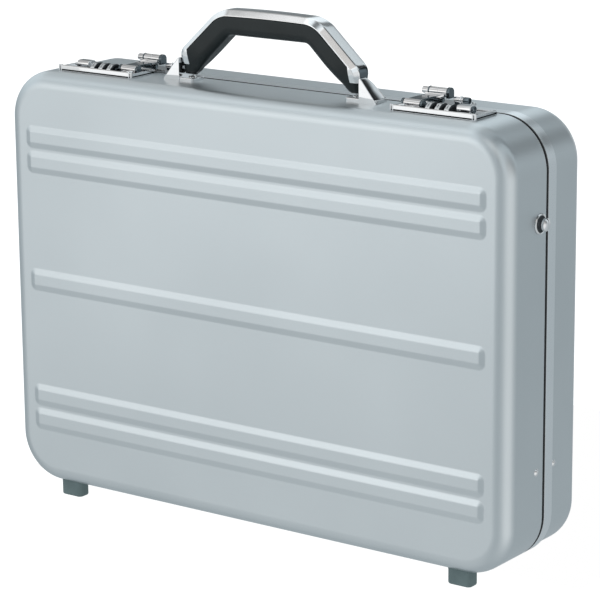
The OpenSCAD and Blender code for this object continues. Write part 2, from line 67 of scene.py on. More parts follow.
base_low, base_high = node_box("base_shell")
_, rim_high = node_box("lid_rim")
_, lid_high = node_box("lid_shell")
RIB_RISE = 1.8
SIDE_X = base_high.x
FRONT_Y = base_low.y + RIB_RISE
BACK_Y = lid_high.y - RIB_RISE
BOTTOM_Z = base_low.z
TOP_Z = base_high.z
MID_Z = (BOTTOM_Z + TOP_Z) / 2
CASE_W = 2 * SIDE_X
CASE_H = TOP_Z - BOTTOM_Z
BASE_EDGE_Y = base_high.y + 1.4
LIP_Y = 0.7
RIM_BACK_Y = rim_high.y
CORNER_R = 38.0
EDGE_R = 12.7
SHEET = 1.4
LID_INSET = SIDE_X - lid_high.x

RIB_LEN = 421.0
RIB_W = 18.8
RIB_FLANK = 5.8
RIB_CREST = 1.3
RIB_ROOT_R = 6.0
RIB_Z = (-113.8, -94.1, 0.0, 94.1, 113.8)

PIVOT_Y = -14.0
LOCK_Y = -22.0
DIAL_X = (145.5, 153.5, 161.5)
DIAL_Z = TOP_Z - 0.5
DIAL_R = 7.5
HASP_X = 131.2
HASP_PIVOT_Z = TOP_Z + 4.5


# ---------------------------------------------------------------- materials

class Tree:
    """Small helper around a node tree."""

    def __init__(self, tree):
        self.tree = tree

    def add(self, kind, **values):
        node = self.tree.nodes.new(kind)
        for key, value in values.items():
            if key in node.inputs:
                node.inputs[key].default_value = value
            else:
                setattr(node, key, value)
        return node

    def link(self, a, b):
        self.tree.links.new(a, b)

    def put(self, value, socket):
        """Sets a socket to a number or links another socket to it."""
        if isinstance(value, (int, float)):
            socket.default_value = value
        else:
            self.link(value, socket)

    def ramp(self, source, low, high, start=0.3, end=0.7, interpolation="LINEAR"):
        """Maps the range start to end of a source onto the numbers low to high."""
        node = self.add("ShaderNodeMapRange", interpolation_type=interpolation)
        ends = {"From Min": start, "From Max": end, "To Min": low, "To Max": high}
        for key, value in ends.items():
            node.inputs[key].default_value = value
        self.link(source, node.inputs["Value"])
        return node.outputs["Result"]

    def math(self, operation, *values):
        node = self.add("ShaderNodeMath", operation=operation)
        for value, socket in zip(values, node.inputs):
            self.put(value, socket)
        return node.outputs[0]


class Nodes(Tree):
    """One material's node tree around its principled shader."""

    def __init__(self, name):
        self.material = bpy.data.materials.new(name)
        self.material.use_nodes = True
        super().__init__(self.material.node_tree)
        self.shader = self.tree.nodes["Principled BSDF"]
        self.coords = self.add("ShaderNodeTexCoord").outputs["Object"]

    def set(self, **values):
        for key, value in values.items():
            self.shader.inputs[key.replace("_", " ")].default_value = value

    def noise(self, scale, detail=3.0, stretch=None):
        node = self.add("ShaderNodeTexNoise", Scale=scale, Detail=detail, Roughness=0.6)
        vector = self.coords
        if stretch:
            mapping = self.add("ShaderNodeMapping", Scale=stretch)
            self.link(vector, mapping.inputs["Vector"])
            vector = mapping.outputs["Vector"]
        self.link(vector, node.inputs["Vector"])
        return node.outputs["Fac"]

    def colours(self, source, dark, light, start=0.3, end=0.7):
        node = self.add("ShaderNodeValToRGB")
        for element, place, colour in zip(node.color_ramp.elements, (start, end), (dark, light)):
            element.position = place
            element.color = (*colour, 1)
        self.link(source, node.inputs["Fac"])
        return node.outputs["Color"]

    def bump(self, height, strength, distance, normal=None):
        node = self.add("ShaderNodeBump", Strength=strength, Distance=distance)
        self.link(height, node.inputs["Height"])
        if normal:
            self.link(normal, node.inputs["Normal"])
        return node.outputs["Normal"]

    def base(self, socket):
        self.link(socket, self.shader.inputs["Base Color"])

    def rough(self, socket):
        self.link(socket, self.shader.inputs["Roughness"])

    def normal(self, socket):
        self.link(socket, self.shader.inputs["Normal"])


def blasted_metal(name, dark, light, rough_low, rough_high):
    """Bead-blasted anodised aluminium: fine grain, with very slow changes in tone."""
    n = Nodes(name)
    n.set(Metallic=1.0)
    slow = n.noise(7.0, detail=2.0)
    grain = n.noise(2600.0, detail=2.0)
    n.base(n.colours(slow, dark, light))
    n.rough(n.ramp(grain, rough_low, rough_high))
    n.normal(n.bump(grain, 0.10, 0.00006))
    return n.material


def polished_metal(name, colour, rough, smear=0.05):
    """Chrome plate: a faint waviness and light handling marks."""
    n = Nodes(name)
    n.set(Metallic=1.0, IOR=2.4)
    wipe = n.noise(160.0, detail=4.0, stretch=(0.35, 1.0, 1.0))
    dark = tuple(c * 0.93 for c in colour)
    n.base(n.colours(wipe, dark, colour))
    n.rough(n.ramp(wipe, rough, rough + smear))
    n.normal(n.bump(n.noise(90.0, detail=1.0), 0.06, 0.0003))
    return n.material


def brushed_metal(name, colour, rough):
    """Plated steel with a fine brushed grain along X."""
    n = Nodes(name)
    n.set(Metallic=1.0)
    streaks = n.noise(900.0, detail=3.0, stretch=(0.03, 1.0, 1.0))
    n.base(n.colours(streaks, tuple(c * 0.82 for c in colour), colour))
    n.rough(n.ramp(streaks, rough, rough + 0.14))
    n.normal(n.bump(streaks, 0.15, 0.00004))
    return n.material


def moulded(name, dark, light, rough, grain_scale, grain_depth, specular=0.45):
    """Moulded plastic or rubber with a fine leather-like grain."""
    n = Nodes(name)
    n.set(Specular_IOR_Level=specular)
    cells = n.add("ShaderNodeTexVoronoi", feature="SMOOTH_F1", Scale=grain_scale)
    n.link(n.coords, cells.inputs["Vector"])
    fine = n.noise(grain_scale * 3, detail=3.0)
    n.base(n.colours(n.noise(60.0), dark, light))
    n.rough(n.ramp(fine, rough - 0.05, rough + 0.08))
    leather = n.bump(cells.outputs["Distance"], 0.35, grain_depth)
    n.normal(n.bump(fine, 0.3, grain_depth / 2, leather))
    return n.material


def woven(name, dark, light, thread):
    """Plain weave: warp and weft threads of the given pitch in metres, from two crossed waves."""
    n = Nodes(name)
    n.set(Roughness=0.85, Sheen_Weight=0.35, Sheen_Roughness=0.5, Specular_IOR_Level=0.2)
    split = n.add("ShaderNodeSeparateXYZ")
    n.link(n.coords, split.inputs["Vector"])
    turns = 2 * pi / thread
    across = n.math("ADD", split.outputs["X"], split.outputs["Y"])
    up = n.math("ADD", split.outputs["Z"], n.math("MULTIPLY", split.outputs["Y"], 0.5))
    warp = n.math("SINE", n.math("MULTIPLY", across, turns))
    weft = n.math("SINE", n.math("MULTIPLY", up, turns))
    cross = n.math("MULTIPLY", warp, weft)
    fuzz = n.noise(1500.0, detail=4.0)
    height = n.math("ADD", n.math("MULTIPLY", cross, 0.35), n.math("MULTIPLY", fuzz, 0.5))
    n.base(n.colours(height, dark, light, -0.1, 0.6))
    n.normal(n.bump(height, 0.7, 0.00025))
    return n.material


SHELL = blasted_metal("shell_aluminium", (0.565, 0.605, 0.625), (0.60, 0.64, 0.66), 0.33, 0.43)
RIM = blasted_metal("rim_aluminium", (0.72, 0.755, 0.775), (0.76, 0.79, 0.81), 0.27, 0.35)
CHROME = polished_metal("bright_chrome", (0.77, 0.77, 0.775), 0.03, 0.03)
# Dark copy of the bright chrome: painted shade and painted dark reflections on chrome parts of the
# locks, the catches and the ends of the inlay
PAINTED_SHADE_CHROME = polished_metal("chrome_painted_shade", (0.13, 0.155, 0.17), 0.10, 0.05)
TRIM = polished_metal("handle_trim_chrome", (0.88, 0.88, 0.885), 0.13, 0.04)
DIAL = brushed_metal("dial_metal", (0.74, 0.75, 0.76), 0.22)
# Near-black metal: painted shade in the gaps between the number wheels and in the dish of the
# shoulder studs
SHADE_BLACK_METAL = brushed_metal("painted_shade_black_metal", (0.045, 0.05, 0.055), 0.35)
STEEL = brushed_metal("steel", (0.55, 0.57, 0.59), 0.30)
GRIP = moulded("grip", (0.005, 0.009, 0.010), (0.009, 0.015, 0.016), 0.34, 900.0, 0.00008, 0.32)
FOOT = moulded("foot_rubber", (0.125, 0.168, 0.172), (0.155, 0.205, 0.208), 0.72, 700.0, 0.00015,
               0.25)
SEAL = moulded("seal", (0.012, 0.012, 0.014), (0.02, 0.02, 0.022), 0.6, 900.0, 0.00005)
PAINT = moulded("dial_paint", (0.004, 0.004, 0.004), (0.008, 0.008, 0.008), 0.55, 2000.0, 0.00002)
LINING = woven("lining", (0.028, 0.030, 0.036), (0.075, 0.080, 0.092), 0.0011)
POCKET = woven("pocket_fabric", (0.014, 0.015, 0.018), (0.045, 0.048, 0.056), 0.0007)
HEM = woven("pocket_hem", (0.010, 0.010, 0.012), (0.03, 0.032, 0.036), 0.0005)

CHROME_AND_PAINTED_SHADE = [CHROME, PAINTED_SHADE_CHROME]

NODE_MATERIALS = {
    "shell_aluminium": SHELL, "rim_aluminium": RIM, "bright_chrome": CHROME, "dial_metal": DIAL,
    "steel": STEEL, "grip": GRIP, "foot_rubber": FOOT, "seal": SEAL, "lining": LINING,
    "pocket_fabric": POCKET,
}


# ---------------------------------------------------------------- mesh helpers

def add_geometry(bm, points, faces, material=0):
    verts = [bm.verts.new(p) for p in points]
    made = [bm.faces.new([verts[i] for i in f]) for f in faces]
    for f in made:
        f.material_index = material
    return made


SHARP = radians(30)


def bevel_sharp(bm, faces, width, segments=3):
    """Rounds the sharp edges of the given closed faces."""
    bm.normal_update()
    edges = set(e for f in faces for e in f.edges)
    sharp = [e for e in edges if len(e.link_faces) == 2 and e.calc_face_angle(0) > SHARP]
    if width and sharp:
        bmesh.ops.bevel(bm, geom=sharp, offset=width, segments=segments, profile=0.5,
                        affect="EDGES", clamp_overlap=True)


def ring_faces(rings, count, capped=True):
    """Faces between rings of count points each, with both ends closed if capped."""
    faces = [(r * count + k, r * count + (k + 1) % count, (r + 1) * count + (k + 1) % count,
              (r + 1) * count + k) for r in range(rings - 1) for k in range(count)]
    if capped:
        faces += [tuple(reversed(range(count))), tuple(range((rings - 1) * count, rings * count))]
    return faces


def loft(bm, rings, bevel=0.0, segments=3, material=0):
    """Closed solid over rings of points that all have the same count."""
    part = bmesh.new()
    made = add_geometry(part, [p for ring in rings for p in ring],
                        ring_faces(len(rings), len(rings[0])))
    bmesh.ops.recalc_face_normals(part, faces=made)
    bevel_sharp(part, made, bevel, segments)
    join(bm, part, material)


def prism(bm, outline, start, end, to_point, bevel=0.0, segments=3, material=0):
    """Closed prism over a 2-D outline; to_point turns (u, v, height) into a point."""
    loft(bm, [[to_point(u, v, h) for u, v in outline] for h in (start, end)], bevel, segments,
         material)


def along_x(u, v, h):
    """Point of a prism that runs along X; u is Y and v the height above the shells."""
    return h, u, TOP_Z + v


def upright(u, v, h):
    """Point of a prism that stands on its outline."""
    return u, v, h


def join(bm, part, material=0):
    """Adds another bmesh's geometry to bm and frees it."""
    mesh = bpy.data.meshes.new("part")
    part.to_mesh(mesh)
    part.free()
    first = len(bm.faces)
    bm.from_mesh(mesh)
    bm.faces.ensure_lookup_table()
    for f in bm.faces[first:]:
        f.material_index = material
    bpy.data.meshes.remove(mesh)


def box(bm, low, high, bevel=0.4, segments=3, material=0):
    outline = [(low[0], low[1]), (high[0], low[1]), (high[0], high[1]), (low[0], high[1])]
    prism(bm, outline, low[2], high[2], upright, bevel, segments, material)


def circle(cx, cy, r, count):
    return [(cx + r * cos(2 * pi * i / count), cy + r * sin(2 * pi * i / count))
            for i in range(count)]


def arc(cx, cy, r, a0, a1, steps):
    return [(cx + r * cos(radians(a0 + (a1 - a0) * i / steps)),
             cy + r * sin(radians(a0 + (a1 - a0) * i / steps))) for i in range(steps + 1)]


def rounded_outline(x0, y0, x1, y1, r, steps=6):
    return (arc(x1 - r, y1 - r, r, 0, 90, steps) + arc(x0 + r, y1 - r, r, 90, 180, steps)
            + arc(x0 + r, y0 + r, r, 180, 270, steps) + arc(x1 - r, y0 + r, r, 270, 360, steps))


def lathe(bm, profile, centre, axis="x", segments=40, material=0):
    """Turns a profile of (along, radius) points around the X or Z line through centre."""

    def place(t, a, b):
        return [c + d for c, d in zip(centre, (t, a, b) if axis == "x" else (a, b, t))]

    part = bmesh.new()
    rings = []
    for t, r in profile:
        if r < 1e-6:
            rings.append([part.verts.new(place(t, 0, 0))])
        else:
            rings.append([part.verts.new(place(t, r * cos(2 * pi * i / segments),
                                               r * sin(2 * pi * i / segments)))
                          for i in range(segments)])
    for a, b in zip(rings, rings[1:]):
        for i in range(segments):
            j = (i + 1) % segments
            corners = list(dict.fromkeys((a[i % len(a)], a[j % len(a)], b[j % len(b)],
                                          b[i % len(b)])))
            if len(corners) >= 3:
                part.faces.new(corners)
    for ring in (rings[0], rings[-1]):
        if len(ring) > 1:
            part.faces.new(ring)
    bmesh.ops.recalc_face_normals(part, faces=part.faces)
    join(bm, part, material)


def make(name, bm, body, materials, replaces=(), mirror=False, smooth=32.0, weighted=True):
    """Turns a bmesh in millimetres into a piece that rides on a CAD body."""
    scale = Matrix.Diagonal((-MM if mirror else MM, MM, MM, 1))
    bmesh.ops.transform(bm, matrix=scale, verts=bm.verts)
    if mirror:
        bmesh.ops.reverse_faces(bm, faces=bm.faces)
    mesh = bpy.data.meshes.new(name)
    bm.to_mesh(mesh)
    bm.free()
    return piece_of(name, mesh, body, materials, replaces, smooth, weighted)


def placed(name, data):
    """New object in the scene around a mesh, curve, light or camera."""
    obj = bpy.data.objects.new(name, data)
    bpy.context.scene.collection.objects.link(obj)
    return obj


def piece_of(name, mesh, body, materials, replaces=(), smooth=32.0, weighted=True):
    obj = placed(name, mesh)
    for m in materials if isinstance(materials, (list, tuple)) else [materials]:
        mesh.materials.append(m)
    if smooth:
        for p in mesh.polygons:
            p.use_smooth = True
        mesh.set_sharp_from_angle(angle=radians(smooth))
    if weighted:
        normals = obj.modifiers.new("normals", "WEIGHTED_NORMAL")
        normals.keep_sharp = True
    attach(obj, body)
    if replaces:
        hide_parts(*replaces)
    return obj


# ---------------------------------------------------------------- shells, rims and lining

CORNER_STEPS = 20
FILLET_STEPS = 14


def stations(extra_top=()):
    """(x, z, nx, nz) around the case outline; extra_top adds stations on the top run."""
    out = []
    reach, rise = CASE_W / 2 - CORNER_R, CASE_H / 2 - CORNER_R
    for k, (sx, sz) in enumerate(((1, 1), (-1, 1), (-1, -1), (1, -1))):
        for i in range(CORNER_STEPS + 1):
            a = radians(90 * k + 90 * i / CORNER_STEPS)
            out.append((sx * reach + CORNER_R * cos(a), MID_Z + sz * rise + CORNER_R * sin(a),
                        cos(a), sin(a)))
        if k == 0:
            out += [(x, MID_Z + CASE_H / 2, 0.0, 1.0) for x in sorted(extra_top, reverse=True)]
    return out


def sweep_ring(points, profile, closed=True, skip=None):
    """Quads of a profile [(inset, y, normal out, normal y)] swept around stations."""
    verts, normals, faces = [], [], []
    for x, z, nx, nz in points:
        for inset, y, n_out, n_y in profile:
            verts.append((x - nx * inset, y, z - nz * inset))
            normals.append((nx * n_out, n_y, nz * n_out))
    m, n = len(points), len(profile)
    for i in range(m):
        for j in range(n if closed else n - 1):
            if skip and skip(i, j):
                continue
            a, b = i * n + j, i * n + (j + 1) % n
            c, d = ((i + 1) % m) * n + (j + 1) % n, ((i + 1) % m) * n + j
            faces.append((a, b, c, d))
    return verts, normals, faces


def fillet(inset, y0, r, sign, steps=FILLET_STEPS):
    """Quarter round from a panel at y0 to a wall; sign is -1 for a front panel, else 1."""
    out = []
    for i in range(steps + 1):
        a = radians(90 * i / steps)
        out.append((inset + r * (1 - sin(a)), y0 - sign * r * (1 - cos(a)), sin(a), sign * cos(a)))
    return out


def rib_rings(z):
    """Rings of a pressed rib from root to crest, as (x, z, height, slope, nx, nz)."""
    steps = 10
    soft = 0.22
    heights, slopes = [], []
    for i in range(steps + 1):
        t = i / steps
        slopes.append(min(1.0, t / soft, (1 - t) / soft))
    total = sum((a + b) / 2 for a, b in zip(slopes, slopes[1:])) / steps
    run = 0.0
    for i in range(steps + 1):
        if i:
            run += (slopes[i - 1] + slopes[i]) / 2 / steps
        heights.append(RIB_CREST * run / total)
    peak = RIB_CREST / total / RIB_FLANK
    outline = []
    x_reach, z_reach = RIB_LEN / 2 - RIB_ROOT_R, RIB_W / 2 - RIB_ROOT_R
    for k, (sx, sz) in enumerate(((1, 1), (-1, 1), (-1, -1), (1, -1))):
        for i in range(9):
            a = radians(90 * k + 90 * i / 8)
            outline.append((sx * x_reach, MID_Z + z + sz * z_reach, cos(a), sin(a)))
    rings = []
    for i in range(steps + 1):
        r = RIB_ROOT_R - RIB_FLANK * i / steps
        rings.append([(cx + nx * r, cz + nz * r, heights[i], slopes[i] * peak, nx, nz)
                      for cx, cz, nx, nz in outline])
    return rings


def shell_piece(name, inset, panel_y, sign, edge_y, body, node, roll, extra_top=(), hole_y=None):
    """Drawn tray with a rounded edge, pressed ribs and a folded lip, as one smooth mesh."""
    outer = fillet(inset, panel_y, EDGE_R, sign)
    inner = fillet(inset + SHEET, panel_y - sign * SHEET, EDGE_R - SHEET, sign)
    wall = sorted(hole_y, reverse=sign > 0) if hole_y else []
    outer += [(inset, y, 1, 0) for y in wall]
    for i in range(7):
        a = radians(90 * i / 6)
        outer.append((inset + roll * (1 - cos(a)), edge_y + sign * roll * 1.4 * (1 - sin(a)),
                      cos(a), -sign * sin(a)))
    back = [(inset + SHEET - 0.05, edge_y, 0, -sign), (inset + SHEET, edge_y + sign * 0.05, -1, 0)]
    back += [(inset + SHEET, y, -1, 0) for y in reversed(wall)]
    back += [(d, y, -a, -b) for d, y, a, b in reversed(inner)]
    profile = outer + back
    points = stations(extra_top)
    ring = len(profile)

    def in_hole(i, j):
        if not hole_y:
            return False
        a, b = points[i], points[(i + 1) % len(points)]
        on_top = a[3] > 0.999 and b[3] > 0.999
        middle_x = (a[0] + b[0]) / 2
        low, high = sorted(map(abs, extra_top))[1:3]
        near = low < abs(middle_x) < high
        y0, y1 = profile[j][1], profile[(j + 1) % ring][1]
        flat = abs(profile[j][2]) == 1 and profile[j][3] == 0
        inside = min(y0, y1) > min(hole_y) - 0.01 and max(y0, y1) < max(hole_y) + 0.01
        return on_top and near and flat and inside

    verts, normals, faces = sweep_ring(points, profile, closed=False, skip=in_hole)
    # Outer panel with the ribs in it
    rim = [i * ring for i in range(len(points))]
    loops = [[Vector((verts[i][0], verts[i][2], 0)) for i in rim]]
    index = list(rim)
    for z in RIB_Z:
        rings = rib_rings(z)
        start = len(verts)
        for level in rings:
            for x, zz, h, slope, nx, nz in level:
                verts.append((x, panel_y + sign * h, zz))
                n = Vector((nx * slope, sign, nz * slope)).normalized()
                normals.append(tuple(n))
        count = len(rings[0])
        loops.append([Vector((p[0], p[1], 0)) for p in rings[0]])
        index += list(range(start, start + count))
        faces += [tuple(start + i for i in f) for f in ring_faces(len(rings), count, capped=False)]
        top = start + (len(rings) - 1) * count
        faces.append(tuple(range(top, top + count)))
    for tri in tessellate_polygon(loops):
        faces.append(tuple(index[i] for i in tri))
    inner_rim = [i * ring + ring - 1 for i in range(len(points))]
    faces.append(tuple(inner_rim))
    bm = bmesh.new()
    made = add_geometry(bm, verts, faces)
    keep = bm.verts.layers.float_vector.new("custom")
    bm.verts.ensure_lookup_table()
    for v, n in zip(bm.verts, normals):
        v[keep] = n
    bmesh.ops.recalc_face_normals(bm, faces=made)
    # Walls of the lock openings
    loose = [e for e in bm.edges if len(e.link_faces) == 1]
    if loose:
        bmesh.ops.bridge_loops(bm, edges=loose)
    bmesh.ops.transform(bm, matrix=Matrix.Scale(MM, 4), verts=bm.verts)
    mesh = bpy.data.meshes.new(name)
    bm.to_mesh(mesh)
    values = [Vector(a.vector) for a in mesh.attributes["custom"].data]
    bm.free()
    for p in mesh.polygons:
        p.use_smooth = True
    mesh.attributes.remove(mesh.attributes["custom"])
    mesh.normals_split_custom_set_from_vertices([tuple(v.normalized()) for v in values])
    return piece_of(name, mesh, body, SHELL, [node], smooth=None, weighted=False)


LOCK_WINDOW_X = (135.7, 181.0)
shell_piece("base_skin", 0.0, FRONT_Y, -1, BASE_EDGE_Y, "base", "base_shell", 1.2,
            extra_top=[s * x for s in (-1, 1) for x in LOCK_WINDOW_X], hole_y=(-31.0, -13.0))
shell_piece("lid_skin", LID_INSET, BACK_Y, 1, RIM_BACK_Y - 4.7, "lid", "lid_shell", 0.3)


def ring_piece(name, outline, body, material, nodes, bevel=0.25):
    """Extruded frame: a closed profile of (inset, y) points swept around the case."""
    profile = [(inset, y, 0, 0) for inset, y in outline]
    verts, _, faces = sweep_ring(stations(), profile, closed=True)
    bm = bmesh.new()
    made = add_geometry(bm, verts, faces)
    bmesh.ops.recalc_face_normals(bm, faces=made)
    along = []
    bm.normal_update()
    for e in bm.edges:
        flat = abs(e.verts[0].co.y - e.verts[1].co.y) < 1e-6
        if flat and e.calc_face_angle(0) > radians(25) and e.calc_length() > 0:
            along.append(e)
    bmesh.ops.bevel(bm, geom=along, offset=bevel, segments=2, profile=0.5, affect="EDGES",
                    clamp_overlap=True)
    return make(name, bm, body, material, nodes)


ring_piece("lid_frame", [
    (0.15, LIP_Y), (0, LIP_Y + 0.15), (0, RIM_BACK_Y - 0.7), (0.7, RIM_BACK_Y),
    (LID_INSET, RIM_BACK_Y), (LID_INSET, 7.1), (6, 7.1), (6, 4.7), (3.4, 4.7), (3.4, LIP_Y)],
    "lid", RIM, ["lid_rim"])
ring_piece("base_frame", [
    (SHEET, -15), (SHEET, BASE_EDGE_Y - 0.5), (3.9, BASE_EDGE_Y - 0.5), (3.9, 1.8), (5.2, 1.8),
    (5.2, -5), (3.4, -7), (3.4, -15)],
    "base", RIM, ["base_rim"])
ring_piece("lid_gasket", [
    (5.8, 2.9), (5.4, 2.4), (4.6, 2.2), (3.4, 2.2), (3.4, 4.7), (5.8, 4.7)],
    "lid", SEAL, ["lid_seal"], 0.12)
# Black strip that fills the seam where the lid meets the base: painted shade of the joint
ring_piece("lid_seam_painted_shade", [(3.4, LIP_Y), (3.4, -0.9), (0.05, -0.9), (0.05, LIP_Y)],
           "lid", SEAL, [], 0.2)


def lining_piece(name, inset, panel_y, sign, edge_y, body, node):
    """Lining that follows the inside of a shell, with a turned edge."""
    thick = 1.4
    outer = fillet(inset, panel_y, EDGE_R - SHEET, sign, 6)
    inner = fillet(inset + thick, panel_y - sign * thick, EDGE_R - SHEET - thick, sign, 6)
    half = thick / 2
    soft = half * 0.3
    profile = outer + [
        (inset, edge_y + sign * half, 1, 0), (inset + soft, edge_y + sign * soft, 0, 0),
        (inset + half, edge_y, 0, 0), (inset + thick - soft, edge_y + sign * soft, 0, 0),
        (inset + thick, edge_y + sign * half, 0, 0)] + list(reversed(inner))
    points = stations()
    ring = len(profile)
    verts, _, faces = sweep_ring(points, profile, closed=False)
    faces.append(tuple(i * ring for i in range(len(points))))
    faces.append(tuple(i * ring + ring - 1 for i in range(len(points))))
    bm = bmesh.new()
    made = add_geometry(bm, verts, faces)
    bmesh.ops.recalc_face_normals(bm, faces=made)
    return make(name, bm, body, LINING, [node], smooth=50)


lining_piece("base_lining", SHEET + 0.1, FRONT_Y + SHEET + 0.1, -1, -15.2, "base", "base_liner")
lining_piece("lid_lining", LID_INSET + SHEET + 0.1, BACK_Y - SHEET - 0.1, 1, 20.0, "lid",
             "lid_liner")


# ---------------------------------------------------------------- document pocket

def pouch(bm, half_w, z0, z1, y_back, depth):
    """Soft pocket front: full in the middle, drawn in at its seams, open along the top."""
    nu, nv = 28, 14
    for layer, offset in ((0, 0.0), (1, 0.8)):
        verts, faces = [], []
        for j in range(nv + 1):
            for i in range(nu + 1):
                u, v = -1 + 2 * i / nu, j / nv
                full = (1 - abs(u) ** 6) * (1 - (1 - v) ** 5)
                ripple = 0.35 * sin(9 * u + 2.0 * v) * (1 - abs(u) ** 4) * v
                y = y_back - depth * full * 0.85 - 0.6 - ripple + offset
                verts.append((half_w * u, y, z0 + (z1 - z0) * v))
        for j in range(nv):
            for i in range(nu):
                a = j * (nu + 1) + i
                quad = (a, a + 1, a + nu + 2, a + nu + 1)
                faces.append(quad if layer == 0 else quad[::-1])
        add_geometry(bm, verts, faces)


def hem(bm, half_w, z, y_of):
    """Rolled hem along the top of a pouch."""
    steps, around, r = 40, 10, 1.1
    turns = [2 * pi * k / around for k in range(around)]
    verts = [(half_w * u, y_of(u) + 0.8 * r * cos(a), z + 1.9 * r * sin(a))
             for u in (-1 + 2 * i / steps for i in range(steps + 1)) for a in turns]
    add_geometry(bm, verts, ring_faces(steps + 1, around), 1)


def stitches(bm, y, start, end):
    """Row of raised stitches on the plane at y, between two (x, z) points."""
    (x0, z0), (x1, z1) = start, end
    run = sqrt((x1 - x0) ** 2 + (z1 - z0) ** 2)
    dx, dz = (x1 - x0) / run, (z1 - z0) / run
    pitch, length, r, around = 3.2, 2.2, 0.28, 6
    for i in range(int(run / pitch)):
        t = (i + 0.5) * pitch
        cx, cz = x0 + dx * t, z0 + dz * t
        verts = []
        for s, fat in ((-0.5, 0.3), (-0.25, 1.0), (0.25, 1.0), (0.5, 0.3)):
            for k in range(around):
                a = 2 * pi * k / around
                off = r * fat * cos(a)
                verts.append((cx + dx * length * s - dz * off, y - r * fat * sin(a),
                              cz + dz * length * s + dx * off))
        add_geometry(bm, verts, ring_faces(4, around), 1)


def document_pocket():
    board_y = BACK_Y - 2.9
    bm = bmesh.new()
    outline = rounded_outline(-200, MID_Z - 131, 200, MID_Z + 131, 10, 8)
    prism(bm, outline, board_y - 2.0, board_y, lambda u, v, h: (u, h, v), 0.7, 3)
    make("pocket_board", bm, "lid", POCKET, ["document_pocket"], smooth=40)
    for name, half_w, z0, z1, y_back, depth in (
            ("pocket_large", 196, MID_Z - 126, MID_Z + 34, board_y - 2.0, 5.0),
            ("pocket_small", 190, MID_Z - 122, MID_Z - 10, board_y - 6.6, 4.0)):
        bm = bmesh.new()
        pouch(bm, half_w, z0, z1, y_back, depth)
        bmesh.ops.recalc_face_normals(bm, faces=bm.faces)

        def front(u, y_back=y_back, depth=depth):
            ripple = 0.35 * sin(9 * u + 2.0) * (1 - abs(u) ** 4)
            return y_back - depth * (1 - abs(u) ** 6) * 0.85 - 0.2 - ripple

        hem(bm, half_w, z1, front)
        seam_y = y_back - 0.9
        for x in (-half_w + 3, half_w - 3):
            stitches(bm, seam_y - 0.4, (x, z0 + 3), (x, z1 - 3))
        stitches(bm, seam_y - 0.2, (-half_w + 4, z0 + 2.2), (half_w - 4, z0 + 2.2))
        make(name, bm, "lid", [POCKET, HEM], smooth=50, weighted=False)


document_pocket()


# ---------------------------------------------------------------- feet and side fittings

def foot_piece(name, node, body, top):
    """Rubber block with a rounded tread and a recess for its rivet."""
    low, high = node_box(node)
    x, y = (low.x + high.x) / 2, (low.y + high.y) / 2

    def around(points):
        return sorted(points, key=lambda p: atan2(p[1] - y, p[0] - x))

    outline = around(rounded_outline(x - 10.1, y - 5.75, x + 10.1, y + 5.75, 3.2, 8))
    recess = around(circle(x, y, 2.9, len(outline)))
    rings = [[(u, v, z) for u, v in recess] for z in (3.8, 0.0)]
    for z, shrink in ((0.0, 1.3), (0.25, 0.6), (0.8, 0.15), (1.6, 0.0), (top - BOTTOM_Z + 9.0, 0.0),
                      (top, -0.25)):
        ring = []
        for u, v in outline:
            out = Vector((u - x, v - y))
            out -= out.normalized() * shrink
            ring.append((x + out.x, y + out.y, z))
        rings.append(ring)
    bm = bmesh.new()
    loft(bm, rings)
    return make(name, bm, body, FOOT, [node], smooth=50)


for side in SIDES:
    foot_piece(f"front_foot_{side}", f"base_foot_{side}", "base", BOTTOM_Z + 1.0)
    foot_piece(f"rear_foot_{side}", f"lid_foot_{side}", "lid", BOTTOM_Z + LID_INSET + 1.0)


def dome(r, rise, start, steps=8):
    """Profile of a shallow dome that closes on the axis, from its edge at start."""
    ball = (r * r + rise * rise) / (2 * rise)
    sweep = asin(min(1.0, r / ball))
    angles = [sweep * (1 - i / steps) for i in range(steps + 1)]
    return [(start + rise - ball + ball * cos(a), ball * sin(a)) for a in angles]


STUD_Y, STUD_Z = -10.6, MID_Z + 91.7
for side, s in SIDES.items():
    bm = bmesh.new()
    head = 3.4
    profile = [(-8.2, 0), (-8.2, 2.0), (-7.2, 2.0), (-7.2, 3.6), (-5.4, 3.6), (-5.4, 2.0),
               (-1.4, 2.0), (-0.1, 2.2), (-0.1, 7.0), (0.1, 7.5), (0.5, 7.65), (0.95, 7.4),
               (1.15, 6.9), (1.0, 6.3), (0.55, 5.2), (0.4, 3.6), (0.45, 2.9), (0.8, 2.8),
               (head - 0.2, 2.8), (head, 2.9), (head, 4.3), (head + 0.2, 4.65), (head + 0.6, 4.8),
               (head + 1.6, 4.8), (head + 2.1, 4.65)] + dome(4.4, 1.3, head + 2.3)
    lathe(bm, profile, (SIDE_X, STUD_Y, STUD_Z), "x", 56)
    # The dished face takes the near-black metal: painted shade in its hollow
    for f in bm.faces:
        middle = f.calc_center_median() - Vector((SIDE_X, STUD_Y, STUD_Z))
        if 0.2 < middle.x < 1.06 and 2.9 < sqrt(middle.y ** 2 + middle.z ** 2) < 6.2:
            f.material_index = 1
    make(f"shoulder_stud_{side}", bm, "base", [CHROME, SHADE_BLACK_METAL],
         [f"strap_stud_{side}"], mirror=s < 0)


# ---------------------------------------------------------------- handle

HANDLE_TOP = 58.0
ARM_X = 81.7
SLOPE = 42.6
GRIP_W = 19.0
# Heights above the shells: the pins, and where the handle reaches its full thickness
PIN_RISE = 9.5
FULL_Z = 26.0


def half_width(z):
    """Half of the handle's thickness front to back, at a height above the shells."""
    full, end = GRIP_W / 2, 4.9
    if z >= FULL_Z:
        return full
    if z >= PIN_RISE:
        return end + (full - end) * sin(radians(90 * (z - PIN_RISE) / (FULL_Z - PIN_RISE))) ** 1.15
    return sqrt(max(0.0, end ** 2 - (PIN_RISE - z) ** 2))


